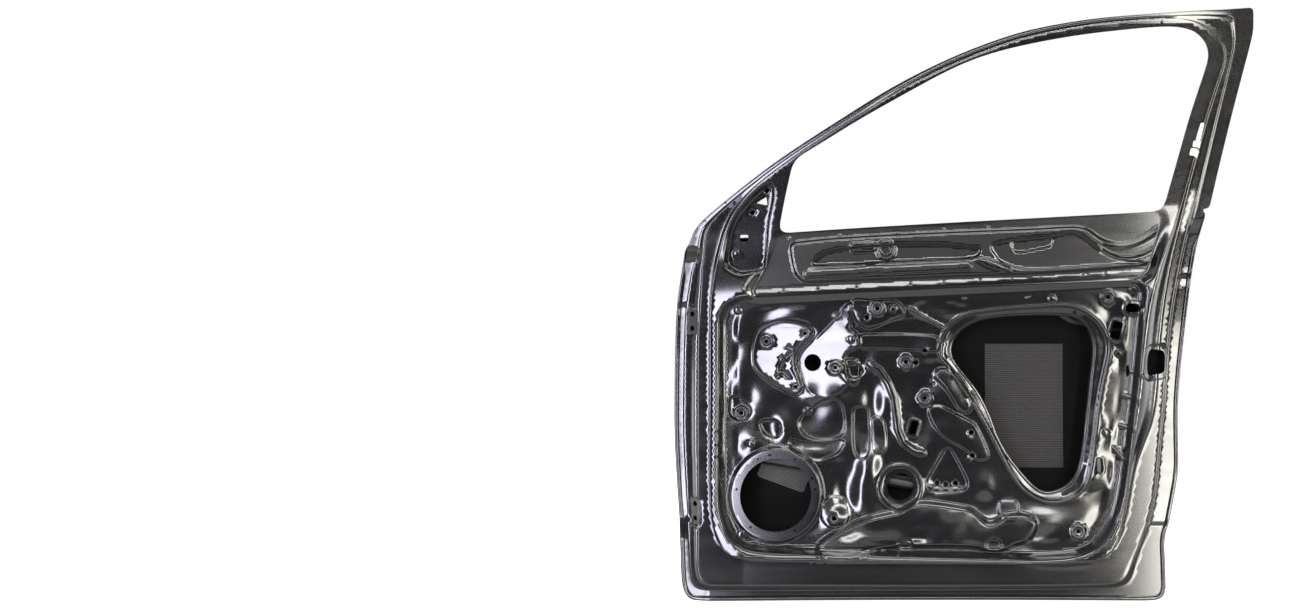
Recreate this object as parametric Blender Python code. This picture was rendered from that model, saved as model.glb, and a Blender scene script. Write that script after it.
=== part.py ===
"""Front right door shell of a car: skin, pressed inner panel, window frame halves and braces.

X runs from the front (hinge) edge to the rear (latch) edge, Y points out of the car and Z is up.
The pieces are drawn in the door's own frame, where X and Z start at the skin's front and bottom
edges and Y is 0 where the side of the car is widest. An empty then hangs them so that the centre
of the upper hinge pad is the world's origin.
"""
import math

import bmesh
import bpy
import numpy as np
from mathutils import Matrix, Vector
from mathutils.geometry import delaunay_2d_cdt

# Driving dimensions, in metres
door_length = 1.180
door_height = 1.190

# How far the side of the car curves away from its widest line
tumblehome = 0.150
sill_tuck = 0.060
plan_crown = 0.012
widest_share = 0.40
tumblehome_power = 1.8

# Sheet thicknesses and the gap between sheets that touch
skin_thickness = 0.0008
inner_thickness = 0.0010
brace_thickness = 0.0015
sheet_gap = 0.0006
wide_gap = 0.0006
loose_gap = 0.0009
weld_distance = 0.00002
steepest_share = 3.0

# The hem: the skin's edge is folded round the inner panel's flange
hem_return = 0.010
hem_side_gap = 0.0008
belt_shelf = 0.012
belt_lip = 0.008
hem_fade_start = 0.0600
hem_fade_end = 0.050

# Levels of the inner panel, measured inboard from the side surface
land_level = 0.047
frame_land_level = 0.038
trim_level = 0.100
frame_level = 0.060
frame_flange_level = 0.028
belt_top_level = 0.060
belt_low_level = 0.079
field_level = 0.075
mirror_level = 0.045
belt_fall = 0.120
flange_step_start = 0.045
flange_step_end = 0.015

# Character lines of the skin
shoulder_crest = 0.0018
shoulder_undercut = 0.0012
shoulder_step = 0.012
shoulder_fade = 0.090
shoulder_edge = 0.010
tuck_depth = 0.012
tuck_reach = 0.050
cladding_step = 0.003
cladding_run = 0.014

# Spacing of the points between the pressed lines
skin_spacing = 0.075
inner_spacing = 0.070
brace_spacing = 0.060
point_clearance_share = 0.35
edge_spacing = 0.085
line_spacing = 0.105

# Outlines and places, as shares of the door's length and height
skin_edge_shares = (
    (0.066, 0.623), (0.037, 0.620), (0.025, 0.607), (0.019, 0.580), (0.0162, 0.568),
    (0.011, 0.538), (0.005, 0.500),
    (0.001, 0.420), (0.000, 0.326), (0.002, 0.261), (0.008, 0.195), (0.0153, 0.129), (0.020, 0.100),
    (0.025, 0.040), (0.030, 0.018), (0.040, 0.004), (0.056, 0.000), (0.200, 0.000), (0.350, 0.000),
    (0.500, 0.000), (0.650, 0.000), (0.780, 0.000), (0.848, 0.000), (0.862, 0.005), (0.869, 0.017),
    (0.870, 0.060), (0.870, 0.104), (0.881, 0.130), (0.884, 0.142), (0.893, 0.175), (0.903, 0.216),
    (0.903, 0.270), (0.903, 0.328), (0.908, 0.390), (0.915, 0.460), (0.924, 0.554), (0.930, 0.600),
    (0.9335, 0.6195), (0.936, 0.630), (0.938, 0.640), (0.945, 0.672),
    (0.820, 0.665), (0.680, 0.6572), (0.540, 0.6494),
    (0.400, 0.6416), (0.260, 0.6338), (0.140, 0.6271))
belt_shares = ((0.066, 0.623), (0.945, 0.672))
shoulder_shares = ((0.000, 0.502), (0.940, 0.5549))
crease_shares = ((0.000, 0.132), (0.065, 0.152), (0.130, 0.176), (0.903, 0.213))
lower_line_shares = ((0.000, 0.112), (0.885, 0.132))
frame_edge_shares = (
    (0.9340, 0.6335), (0.9340, 0.6590), (0.936, 0.680), (0.958, 0.823), (0.978, 0.948),
    (0.973, 0.966), (0.971, 0.9915), (0.902, 0.990),
    (0.827, 0.986), (0.733, 0.980), (0.638, 0.966), (0.576, 0.950), (0.491, 0.920), (0.394, 0.875),
    (0.295, 0.817), (0.201, 0.760), (0.126, 0.706), (0.066, 0.659), (0.048, 0.640), (0.040, 0.622),
    (0.034, 0.607), (0.0215, 0.583))
window_shares = (
    (0.197, 0.631), (0.359, 0.642), (0.545, 0.652), (0.720, 0.661), (0.859, 0.668), (0.879, 0.750),
    (0.896, 0.826), (0.917, 0.900), (0.919, 0.918), (0.913, 0.935), (0.895, 0.952), (0.870, 0.959),
    (0.839, 0.960), (0.792, 0.957), (0.699, 0.948), (0.605, 0.932), (0.542, 0.916), (0.491, 0.896),
    (0.427, 0.864), (0.339, 0.818), (0.281, 0.784), (0.227, 0.753), (0.210, 0.690))
land_foot_shares = (
    (0.050, 0.604), (0.034, 0.575), (0.027, 0.538), (0.020, 0.500), (0.016, 0.420), (0.015, 0.326),
    (0.017, 0.261), (0.023, 0.195), (0.030, 0.129), (0.034, 0.100), (0.040, 0.045), (0.045, 0.026),
    (0.057, 0.017), (0.100, 0.0155), (0.300, 0.015), (0.500, 0.015), (0.650, 0.016), (0.750, 0.018),
    (0.793, 0.020), (0.812, 0.034), (0.822, 0.070), (0.844, 0.118), (0.857, 0.160), (0.866, 0.205),
    (0.873, 0.270), (0.880, 0.326), (0.883, 0.380), (0.889, 0.449), (0.897, 0.519), (0.909, 0.591),
    (0.918, 0.645), (0.927, 0.680), (0.951, 0.823), (0.970, 0.940), (0.966, 0.962), (0.963, 0.984),
    (0.902, 0.985), (0.827, 0.982), (0.733, 0.976), (0.639, 0.962), (0.577, 0.946), (0.492, 0.916),
    (0.396, 0.871), (0.297, 0.813), (0.203, 0.756), (0.129, 0.702), (0.072, 0.656), (0.056, 0.636))
land_top_shares = (
    (0.068, 0.606), (0.064, 0.580), (0.060, 0.519), (0.053, 0.449), (0.053, 0.345), (0.055, 0.224),
    (0.060, 0.107), (0.061, 0.055), (0.072, 0.037), (0.096, 0.0335), (0.300, 0.032), (0.476, 0.031),
    (0.650, 0.032), (0.751, 0.034), (0.783, 0.037), (0.797, 0.046), (0.810, 0.076), (0.832, 0.123),
    (0.845, 0.165), (0.853, 0.207), (0.860, 0.275), (0.867, 0.327), (0.871, 0.379), (0.875, 0.449),
    (0.882, 0.519), (0.894, 0.591), (0.907, 0.660), (0.918, 0.690), (0.943, 0.823), (0.963, 0.930),
    (0.958, 0.955), (0.950, 0.976), (0.902, 0.9805), (0.827, 0.979), (0.732, 0.973), (0.640, 0.959),
    (0.578, 0.943), (0.493, 0.913), (0.398, 0.868), (0.299, 0.810), (0.206, 0.753), (0.133, 0.699),
    (0.082, 0.655), (0.070, 0.634))
ridge_foot_shares = (
    (0.098, 0.650), (0.082, 0.590), (0.075, 0.540), (0.072, 0.451), (0.072, 0.349), (0.073, 0.248),
    (0.078, 0.149), (0.090, 0.103), (0.116, 0.080), (0.174, 0.071), (0.450, 0.068), (0.700, 0.0665),
    (0.744, 0.071), (0.766, 0.080), (0.788, 0.107), (0.801, 0.140), (0.809, 0.173), (0.817, 0.216),
    (0.832, 0.258), (0.849, 0.296), (0.858, 0.331), (0.862, 0.371), (0.866, 0.449), (0.872, 0.519),
    (0.882, 0.591), (0.897, 0.664), (0.930, 0.818), (0.955, 0.912), (0.950, 0.936), (0.932, 0.956),
    (0.897, 0.974), (0.860, 0.9775), (0.822, 0.9765), (0.731, 0.970), (0.640, 0.9555),
    (0.578, 0.9395), (0.493, 0.9085), (0.398, 0.8645), (0.299, 0.807), (0.211, 0.754),
    (0.137, 0.699))
ridge_top_shares = (
    (0.108, 0.640), (0.093, 0.582), (0.086, 0.535), (0.083, 0.451), (0.083, 0.349), (0.083, 0.248),
    (0.088, 0.149), (0.100, 0.110), (0.124, 0.088), (0.174, 0.080), (0.450, 0.077), (0.712, 0.075),
    (0.754, 0.083), (0.777, 0.108), (0.785, 0.149), (0.793, 0.190), (0.801, 0.248), (0.809, 0.315),
    (0.818, 0.383), (0.827, 0.485), (0.841, 0.552), (0.868, 0.621), (0.888, 0.669), (0.920, 0.818),
    (0.946, 0.911), (0.941, 0.932), (0.925, 0.950), (0.893, 0.967), (0.859, 0.972), (0.822, 0.971),
    (0.731, 0.9645), (0.640, 0.950), (0.578, 0.934), (0.493, 0.903), (0.398, 0.859), (0.301, 0.801),
    (0.214, 0.748), (0.141, 0.693))
field_shares = (
    (0.104, 0.500), (0.102, 0.349), (0.104, 0.200), (0.109, 0.151), (0.129, 0.114), (0.161, 0.098),
    (0.260, 0.096), (0.460, 0.090), (0.677, 0.086), (0.735, 0.101), (0.766, 0.136), (0.781, 0.181),
    (0.791, 0.237), (0.801, 0.314), (0.810, 0.383), (0.816, 0.450), (0.820, 0.500), (0.826, 0.547),
    (0.480, 0.534), (0.135, 0.518))
belt_zone_shares = (
    (0.150, 0.524), (0.480, 0.540), (0.828, 0.556), (0.842, 0.600), (0.853, 0.640), (0.855, 0.664),
    (0.545, 0.650), (0.200, 0.629), (0.192, 0.600), (0.172, 0.560))
mirror_field_shares = (
    (0.186, 0.712), (0.165, 0.698), (0.145, 0.678), (0.128, 0.658), (0.118, 0.638), (0.112, 0.608),
    (0.108, 0.578), (0.130, 0.566), (0.168, 0.572), (0.172, 0.610), (0.174, 0.648), (0.186, 0.690))

# Walls of the pressed forms
soft_run = 0.016
form_run = 0.010
sharp_run = 0.006
boss_run = 0.005


def to_place(share):
    """A point of the door from its shares of length and height."""
    return (share[0] * door_length, share[1] * door_height)


def to_places(table):
    return [to_place(share) for share in table]


def line_height(x, table):
    """Height of a character line over x."""
    rows = to_places(table)
    return np.interp(x, [row[0] for row in rows], [row[1] for row in rows])


def side_y(x, z):
    """The smooth side of the car, 0 at its widest."""
    widest = widest_share * door_height
    above = np.clip(z - widest, 0, None) / (door_height - widest)
    below = np.clip(widest - z, 0, None) / widest
    along = 2 * x / door_length - 1
    return -tumblehome * above ** tumblehome_power - sill_tuck * below ** 2 - plan_crown * along ** 2


def skin_y(x, z):
    """The outer face of the skin with its shoulder, crease and lower step."""
    over = z - line_height(x, shoulder_shares)
    places = (-shoulder_fade, -shoulder_step, 0, shoulder_step, shoulder_step + shoulder_edge)
    depths = (0, -shoulder_undercut, shoulder_crest, -shoulder_undercut / 2, 0)
    shoulder = np.interp(over, places, depths)
    crease = line_height(x, crease_shares)
    lower = line_height(x, lower_line_shares)
    band = np.maximum(crease - lower, weld_distance)
    tuck = np.clip((crease - z) / band, 0, 1) * np.minimum(band / tuck_reach, 1) * tuck_depth
    step = np.clip((lower - z) / cladding_run, 0, 1) * cladding_step
    return side_y(x, z) + shoulder - tuck - step


def ramp(value, start, end):
    return np.clip((value - start) / (end - start), 0, 1)


def soft_ramp(value, start, end):
    step = ramp(value, start, end)
    return step * step * (3 - 2 * step)


def above_belt(x, z):
    return z - line_height(x, belt_shares)


def flange_y(x, z):
    """Cabin face of the inner panel's edge: in the hem below the belt, on the frame above it."""
    hem_level = skin_thickness + sheet_gap + inner_thickness
    step = ramp(above_belt(x, z), -flange_step_start, -flange_step_end)
    return skin_y(x, z) - hem_level - (frame_flange_level - hem_level) * step


def land_y(x, z):
    """The face that the door seal runs on."""
    step = soft_ramp(above_belt(x, z), -flange_step_start, flange_step_start)
    return side_y(x, z) - land_level - (frame_land_level - land_level) * step


def trim_y(x, z):
    """The face that the trim panel and the window frame's cover lie on."""
    step = soft_ramp(above_belt(x, z), -belt_fall - flange_step_start, flange_step_end)
    return side_y(x, z) - trim_level - (frame_level - trim_level) * step


def belt_y(x, z):
    """The flat that the inner belt panel is welded to."""
    step = ramp(above_belt(x, z), -belt_fall, 0)
    return side_y(x, z) - belt_low_level - (belt_top_level - belt_low_level) * step


def loop_area(loop):
    total = 0
    for (x0, z0), (x1, z1) in zip(loop, loop[1:] + loop[:1]):
        total += x0 * z1 - x1 * z0
    return total / 2


def inset(loop, distance):
    """The closed loop moved inwards by a distance, or outwards if it is negative."""
    turn = 1 if loop_area(loop) > 0 else -1
    moved = []
    for index, here in enumerate(loop):
        before = Vector(loop[index - 1])
        after = Vector(loop[(index + 1) % len(loop)])
        here = Vector(here)
        run_in = (here - before).normalized()
        run_out = (after - here).normalized()
        side = Vector((-run_in.y - run_out.y, run_in.x + run_out.x)).normalized() * turn
        spread = max(side.dot(Vector((-run_in.y, run_in.x)) * turn), 1 / steepest_share)
        moved.append(tuple(here + side * (distance / spread)))
    return moved


def divided(loop, spacing):
    """The closed loop with its long edges split into equal runs."""
    points = []
    for here, after in zip(loop, loop[1:] + loop[:1]):
        parts = max(math.ceil(math.dist(here, after) / spacing), 1)
        for part in range(parts):
            share = part / parts
            points.append((here[0] + (after[0] - here[0]) * share, here[1] + (after[1] - here[1]) * share))
    return points


def circle(centre, radius, sides, squeeze=1):
    steps = [2 * math.pi * (index + 0.5) / sides for index in range(sides)]
    return [(centre[0] + radius * squeeze * math.cos(a), centre[1] + radius * math.sin(a)) for a in steps]


def turned(loop, centre, degrees):
    turn = math.radians(degrees)
    out = []
    for x, z in loop:
        out.append((centre[0] + x * math.cos(turn) - z * math.sin(turn),
                    centre[1] + x * math.sin(turn) + z * math.cos(turn)))
    return out


def slot(centre, length, width, degrees=0, corner_steps=3):
    """A slot with round ends, length measured end to end."""
    half = (length - width) / 2
    loop = []
    for side in (1, -1):
        for step in range(corner_steps + 1):
            angle = math.pi * (step / corner_steps - 0.5)
            loop.append((side * (half + width / 2 * math.cos(angle)), side * width / 2 * math.sin(angle)))
    return turned(loop, centre, degrees)


def cut_box(centre, width, height, corner, degrees=0):
    """A rectangle with its corners cut at 45 degrees."""
    loop = []
    for sx, sz in ((1, -1), (1, 1), (-1, 1), (-1, -1)):
        outer = (sx * width / 2, sz * (height / 2 - corner))
        inner = (sx * (width / 2 - corner), sz * height / 2)
        loop += [outer, inner] if sx * sz > 0 else [inner, outer]
    return turned(loop, centre, degrees)


def bead_loop(line, half_width):
    """The outline of a bead that runs along an open line."""
    left = []
    right = []
    count = len(line)
    for index in range(count):
        here = Vector(line[index])
        after = Vector(line[min(index + 1, count - 1)])
        before = Vector(line[max(index - 1, 0)])
        along = (after - before).normalized()
        side = Vector((-along.y, along.x)) * half_width
        reach = along * (half_width * ((index == count - 1) - (index == 0)) / 2)
        left.append(tuple(here + side + reach))
        right.append(tuple(here - side + reach))
    first = Vector(line[0]) - (Vector(line[1]) - Vector(line[0])).normalized() * half_width
    last = Vector(line[-1]) + (Vector(line[-1]) - Vector(line[-2])).normalized() * half_width
    return [tuple(first)] + right + [tuple(last)] + left[::-1]


def edge_distance(points, loop):
    """Distance of each point from a closed loop's edges."""
    start = np.array(loop)
    run = np.roll(start, -1, axis=0) - start
    length = np.maximum((run ** 2).sum(axis=1), weld_distance ** 2)
    best = np.full(len(points), np.inf)
    for index in range(len(start)):
        share = ((points - start[index]) @ run[index]) / length[index]
        nearest = start[index] + np.clip(share, 0, 1)[:, None] * run[index]
        best = np.minimum(best, np.hypot(*(points - nearest).T))
    return best


def is_inside(points, loop):
    x, z = points.T
    inside = np.zeros(len(points), dtype=bool)
    for (x0, z0), (x1, z1) in zip(loop, loop[1:] + loop[:1]):
        if z0 == z1:
            continue
        crosses = ((z0 > z) != (z1 > z)) & (x < (x1 - x0) * (z - z0) / (z1 - z0) + x0)
        inside ^= crosses
    return inside


class Pressing:
    """A pressed sheet: an outline with holes, and the forms pressed into its surface."""

    def __init__(self, outline, surface):
        self.outline = outline
        self.surface = surface
        self.holes = []
        self.lines = []
        self.forms = []

    def press(self, top, rule, run=form_run, foot=None):
        """Press the area inside top to a surface; its wall runs out to the foot."""
        self.lines.append(top)
        self.lines.append(foot if foot else inset(top, -run))
        self.forms.append((top, foot, run, rule))

    def raise_form(self, top, rise, run=form_run, foot=None):
        """Lift the area inside top towards the cabin by a rise, or sink it if negative."""
        self.press(top, lambda x, z, y: y - rise, run, foot)

    def lay(self, top, surface, run=form_run, foot=None):
        self.press(top, lambda x, z, y: surface(x, z), run, foot)

    def cut(self, loop):
        self.holes.append(loop)

    def boss(self, centre, radius, rise, hole_radius, sides=8):
        self.raise_form(circle(centre, radius, sides), rise, boss_run)
        if hole_radius:
            self.cut(circle(centre, hole_radius, 6))

    def face(self, points):
        """Y of the sheet's cabin face at each point."""
        x, z = points.T
        y = self.surface(x, z)
        for top, foot, run, rule in self.forms:
            near = edge_distance(points, top)
            if foot:
                far = edge_distance(points, foot)
                weight = np.where(is_inside(points, foot), far / np.maximum(far + near, weld_distance), 0)
            else:
                weight = np.clip(1 - near / run, 0, 1)
            weight = np.where(is_inside(points, top) | (near < weld_distance), 1, weight)
            y = y + weight * (rule(x, z, y) - y)
        return y

    def scatter(self, spacing):
        """Points between the lines, kept clear of them so that no sliver forms."""
        low = np.min(self.outline, axis=0)
        high = np.max(self.outline, axis=0)
        counts = np.maximum(((high - low) / spacing).astype(int), 1)
        xs = low[0] + (np.arange(counts[0]) + 0.5) * (high[0] - low[0]) / counts[0]
        zs = low[1] + (np.arange(counts[1]) + 0.5) * (high[1] - low[1]) / counts[1]
        points = np.array([(x, z) for z in zs for x in xs])
        keep = is_inside(points, self.outline)
        for loop in [self.outline] + self.holes + self.lines:
            keep &= edge_distance(points, loop) > spacing * point_clearance_share
        return points[keep]

    def mesh(self, spacing):
        """The open sheet as a bmesh, cut along every line."""
        points = []
        edges = []
        for loop in [self.outline] + self.holes + self.lines:
            loop = divided(loop, line_spacing)
            first = len(points)
            points += [Vector(point) for point in loop]
            edges += [(first + i, first + (i + 1) % len(loop)) for i in range(len(loop))]
        points += [Vector(point) for point in self.scatter(spacing)]
        verts, _, faces, _, _, _ = delaunay_2d_cdt(points, edges, [], 0, weld_distance)
        flat = np.array([tuple(vert) for vert in verts])
        centres = np.array([flat[list(face)].mean(axis=0) for face in faces])
        keep = is_inside(centres, self.outline)
        for hole in self.holes:
            keep &= ~is_inside(centres, hole)
        depth = self.face(flat)
        bm = bmesh.new()
        made = {}
        for face, wanted in zip(faces, keep):
            if not wanted:
                continue
            for index in face:
                if index not in made:
                    made[index] = bm.verts.new((flat[index][0], depth[index], flat[index][1]))
            bm.faces.new([made[index] for index in face])
        bm.normal_update()
        return bm


def thicken(bm, thickness):
    """Close an open pressing by a second face moved outboard, further where all round is steep."""
    lifts = {}
    for vert in bm.verts:
        steepness = max(abs(face.normal.y) for face in vert.link_faces)
        lifts[tuple(vert.co)] = thickness / max(steepness, 1 / steepest_share)
    grown = bmesh.ops.extrude_face_region(bm, geom=bm.faces[:], use_keep_orig=True)
    for item in grown["geom"]:
        if isinstance(item, bmesh.types.BMVert):
            item.co.y += lifts[tuple(item.co)]
    bmesh.ops.recalc_face_normals(bm, faces=bm.faces[:])


def paint(name, colour, roughness, metallic):
    """A Principled material of one finish."""
    finish = bpy.data.materials.new(name)
    finish.use_nodes = True
    shader = finish.node_tree.nodes["Principled BSDF"]
    shader.inputs["Base Color"].default_value = colour
    shader.inputs["Roughness"].default_value = roughness
    shader.inputs["Metallic"].default_value = metallic
    finish.diffuse_color = colour
    return finish


def add_part(name, bm, colour, roughness=0.3, metallic=0.0):
    """A named object of the door, hung from the hinge pad's empty."""
    mesh = bpy.data.meshes.new(name)
    bm.to_mesh(mesh)
    bm.free()
    part = bpy.data.objects.new(name, mesh)
    part.data.materials.append(paint(name + "_paint", colour, roughness, metallic))
    bpy.data.collections["car_door_shell"].objects.link(part)
    part.parent = bpy.data.objects["door_datum"]
    return part


def pressed_part(name, sheet, thickness, spacing, colour):
    bm = sheet.mesh(spacing)
    thicken(bm, thickness)
    return add_part(name, bm, colour)


# Colours of the dip coat and of the soft and bare pieces
coat_colour = (0.022, 0.022, 0.024, 1)
brace_colour = (0.030, 0.030, 0.033, 1)
pad_colour = (0.040, 0.040, 0.040, 1)
mastic_colour = (0.060, 0.058, 0.052, 1)
nut_colour = (0.050, 0.050, 0.052, 1)

# Skin details
handle_shares = (
    (0.689, 0.5065), (0.697, 0.4935), (0.712, 0.4850), (0.745, 0.4765), (0.775, 0.4700),
    (0.815, 0.4690), (0.845, 0.4745), (0.866, 0.4870), (0.885, 0.4970), (0.893, 0.5120),
    (0.888, 0.5230), (0.865, 0.5300), (0.820, 0.5330), (0.760, 0.5300), (0.715, 0.5230),
    (0.693, 0.5150))
handle_depth = 0.014
handle_run = 0.007
handle_holes = (("rear", 0.866, 0.5110), ("front", 0.741, 0.5010))
handle_hole_width = 0.024
handle_hole_height = 0.020
handle_hole_corner = 0.004
clip_hole_radius = 0.005
cladding_hole_shares = (
    (0.776, 0.0930), (0.803, 0.0640), (0.601, 0.0890), (0.421, 0.0890), (0.246, 0.0810),
    (0.197, 0.0640), (0.147, 0.0620), (0.087, 0.0620))
arch_shares = ((0.687, 0.064), (0.514, 0.063), (0.330, 0.060))
arch_radius = 0.034
arch_half_width = 0.004
arch_rise = 0.003
drain_slot_shares = ((0.785, 0.0330), (0.447, 0.0290), (0.127, 0.0280))
drain_slot_length = 0.020
drain_slot_width = 0.005
hem_line_inset = 0.017
front_run_end = 0.060
rear_run_start = 1.000


# The inner panel's openings and forms
access_outer_shares = (
    (0.643, 0.503), (0.590, 0.500), (0.524, 0.492), (0.502, 0.480), (0.484, 0.463), (0.478, 0.443),
    (0.476, 0.420), (0.491, 0.408), (0.535, 0.346), (0.567, 0.290), (0.590, 0.245), (0.614, 0.202),
    (0.641, 0.181), (0.671, 0.172), (0.707, 0.181), (0.728, 0.201), (0.738, 0.245), (0.750, 0.347),
    (0.771, 0.440), (0.753, 0.477), (0.724, 0.499), (0.695, 0.507))
access_edge_shares = (
    (0.643, 0.491), (0.555, 0.486), (0.515, 0.467), (0.496, 0.441), (0.496, 0.418), (0.555, 0.346),
    (0.581, 0.268), (0.626, 0.210), (0.649, 0.190), (0.667, 0.187), (0.695, 0.197), (0.714, 0.219),
    (0.724, 0.266), (0.733, 0.346), (0.744, 0.441), (0.732, 0.472), (0.708, 0.489))
access_sink = 0.007
speaker_share = (0.195, 0.186)
speaker_ring_radius = 0.089
speaker_hole_radius = 0.072
speaker_level = 0.088
speaker_screw_radius = 0.080
speaker_screw_hole = 0.0025
speaker_screw_angles = (8, 62, 118, 172, 232, 300)
collar_share = (0.407, 0.196)
collar_radius = 0.040
collar_hole_radius = 0.027

high_rise = 0.010
middle_rise = 0.007
low_rise = 0.005
rib_rise = 0.003
high_shares = (
    ((0.468, 0.388), (0.486, 0.372), (0.500, 0.352), (0.512, 0.331), (0.522, 0.325), (0.529, 0.335),
     (0.522, 0.355), (0.506, 0.381), (0.494, 0.391), (0.478, 0.396)),
    ((0.376, 0.142), (0.398, 0.150), (0.442, 0.164), (0.512, 0.170), (0.545, 0.150), (0.586, 0.134),
     (0.604, 0.130), (0.606, 0.139), (0.589, 0.145), (0.556, 0.161), (0.523, 0.181), (0.440, 0.175),
     (0.396, 0.160), (0.372, 0.150)))
middle_shares = (
    ((0.184, 0.472), (0.213, 0.476), (0.243, 0.470), (0.250, 0.463), (0.247, 0.453), (0.229, 0.440),
     (0.218, 0.421), (0.223, 0.403), (0.230, 0.367), (0.214, 0.358), (0.163, 0.392), (0.154, 0.410),
     (0.155, 0.438), (0.162, 0.456)),
    ((0.326, 0.516), (0.342, 0.516), (0.373, 0.512), (0.395, 0.514), (0.409, 0.506), (0.413, 0.492),
     (0.395, 0.486), (0.373, 0.477), (0.352, 0.470), (0.336, 0.479), (0.327, 0.498)),
    ((0.340, 0.436), (0.384, 0.436), (0.430, 0.434), (0.470, 0.430), (0.474, 0.440), (0.470, 0.452),
     (0.430, 0.455), (0.384, 0.456), (0.340, 0.455), (0.336, 0.446)))
low_shares = (
    ((0.457, 0.329), (0.474, 0.333), (0.506, 0.317), (0.535, 0.302), (0.551, 0.270), (0.559, 0.247),
     (0.542, 0.244), (0.521, 0.264), (0.485, 0.281), (0.465, 0.305)),
    ((0.276, 0.168), (0.288, 0.180), (0.311, 0.175), (0.319, 0.153), (0.312, 0.135), (0.290, 0.131),
     (0.274, 0.146)),
    ((0.360, 0.312), (0.369, 0.314), (0.377, 0.305), (0.381, 0.278), (0.378, 0.256), (0.366, 0.256),
     (0.363, 0.284)),
    ((0.310, 0.412), (0.332, 0.412), (0.335, 0.395), (0.329, 0.370), (0.314, 0.379), (0.303, 0.391)),
    ((0.580, 0.150), (0.608, 0.150), (0.608, 0.171), (0.580, 0.171)))
shallow_sink = 0.006
middle_sink = 0.008
deep_sink = 0.011
shallow_shares = (
    ((0.215, 0.276), (0.234, 0.270), (0.269, 0.267), (0.309, 0.275), (0.298, 0.256), (0.266, 0.244),
     (0.241, 0.251), (0.222, 0.263)),
    ((0.165, 0.308), (0.195, 0.308), (0.197, 0.287), (0.191, 0.282), (0.173, 0.288)),
    ((0.328, 0.330), (0.328, 0.264), (0.336, 0.247), (0.347, 0.247), (0.352, 0.262), (0.349, 0.330)),
    ((0.407, 0.099), (0.427, 0.099), (0.427, 0.107), (0.417, 0.111), (0.407, 0.107)),
    ((0.558, 0.099), (0.578, 0.099), (0.578, 0.107), (0.568, 0.111), (0.558, 0.107)))
dish_shares = (
    ((0.233, 0.304), (0.242, 0.287), (0.261, 0.279), (0.288, 0.279), (0.305, 0.286), (0.309, 0.304),
     (0.304, 0.335), (0.292, 0.345), (0.272, 0.342), (0.238, 0.315)),
    ((0.124, 0.349), (0.114, 0.349), (0.112, 0.322), (0.122, 0.312), (0.137, 0.312), (0.146, 0.322),
     (0.145, 0.332)))
pocket_shares = (
    ((0.489, 0.261), (0.456, 0.206), (0.458, 0.197), (0.465, 0.193), (0.515, 0.193), (0.521, 0.198),
     (0.521, 0.206), (0.495, 0.256)),)
s_ridge_shares = (
    (0.353, 0.409), (0.372, 0.395), (0.386, 0.374), (0.397, 0.347), (0.400, 0.321), (0.403, 0.294),
    (0.413, 0.271), (0.433, 0.257), (0.448, 0.254))
s_ridge_half_width = 0.006
side_rib_shares = (
    ((0.824, 0.388), (0.801, 0.397)), ((0.817, 0.347), (0.794, 0.354)),
    ((0.810, 0.296), (0.787, 0.303)), ((0.797, 0.240), (0.776, 0.265)),
    ((0.752, 0.245), (0.752, 0.222)), ((0.423, 0.503), (0.484, 0.467)))
rib_half_width = 0.004
big_hole_share = (0.255, 0.409)
big_hole_radius = 0.0176
boss_shares = (
    (0.295, 0.401), (0.176, 0.446), (0.131, 0.322), (0.368, 0.502), (0.417, 0.410), (0.450, 0.348),
    (0.767, 0.522), (0.713, 0.124))
boss_radius = 0.013
boss_rise = 0.004
boss_hole_radius = 0.0045
dome_shares = (
    (0.322, 0.449), (0.149, 0.272), (0.395, 0.502), (0.127, 0.499), (0.297, 0.489), (0.137, 0.121),
    (0.670, 0.519), (0.810, 0.535), (0.786, 0.425), (0.764, 0.289), (0.122, 0.596),
    (0.246, 0.325))
dome_radius = 0.010
dome_rise = 0.005
cup_share = (0.328, 0.395)
clip_shares = (
    (0.243, 0.460), (0.226, 0.368), (0.350, 0.487), (0.530, 0.289), (0.532, 0.250), (0.295, 0.146),
    (0.450, 0.430), (0.434, 0.409), (0.486, 0.199), (0.471, 0.201), (0.503, 0.201), (0.178, 0.704),
    (0.152, 0.667))
clip_radius = 0.0045
tall_hole_share = (0.782, 0.465)
tall_hole_width = 0.020
tall_hole_height = 0.036
tall_hole_degrees = -15
oval_hole_share = (0.809, 0.503)
oval_hole_length = 0.028
oval_hole_width = 0.019
rod_slot_share = (0.802, 0.395)
rod_slot_length = 0.024
rod_slot_width = 0.007
key_hole_share = (0.430, 0.297)
key_hole_width = 0.014
key_hole_height = 0.028
latch_shares = (
    (0.838, 0.386), (0.868, 0.388), (0.872, 0.394), (0.873, 0.424), (0.868, 0.430), (0.840, 0.432),
    (0.836, 0.424), (0.834, 0.409), (0.835, 0.394))
latch_pad_margin = 0.008
latch_sink = 0.004
mirror_hole_shares = (
    ((0.129, 0.618), (0.143, 0.618), (0.143, 0.629), (0.129, 0.629)),
    ((0.176, 0.697), (0.154, 0.684), (0.178, 0.679)))
hinge_shares = (("upper", 0.480), ("lower", 0.150))
hinge_pad_width = 0.026
hinge_pad_height = 0.052
hinge_pad_offset = 0.022
front_wall_run = 0.042
hinge_bolt_radius = 0.0055
hinge_bolt_edge = 0.011


def close_run(run):
    return run + run[-2:0:-1]


def hinge_centre(z_share):
    """Centre of a hinge pad, half way up the sloping front wall."""
    z = z_share * door_height
    x = float(np.interp(z, *front_line())) + hinge_pad_offset
    return (x, z)


def front_line():
    """Heights and places of the front wall's foot."""
    rows = [to_place(share) for share in land_foot_shares[2:11]]
    rows.sort(key=lambda row: row[1])
    return ([row[1] for row in rows], [row[0] for row in rows])


def hinge_bolts(centre):
    """Centres of a hinge pad's two bolt holes, a fixed distance in from its ends."""
    drop = hinge_pad_height / 2 - hinge_bolt_edge
    return [(centre[0], centre[1] + side * drop) for side in (-1, 1)]


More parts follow.
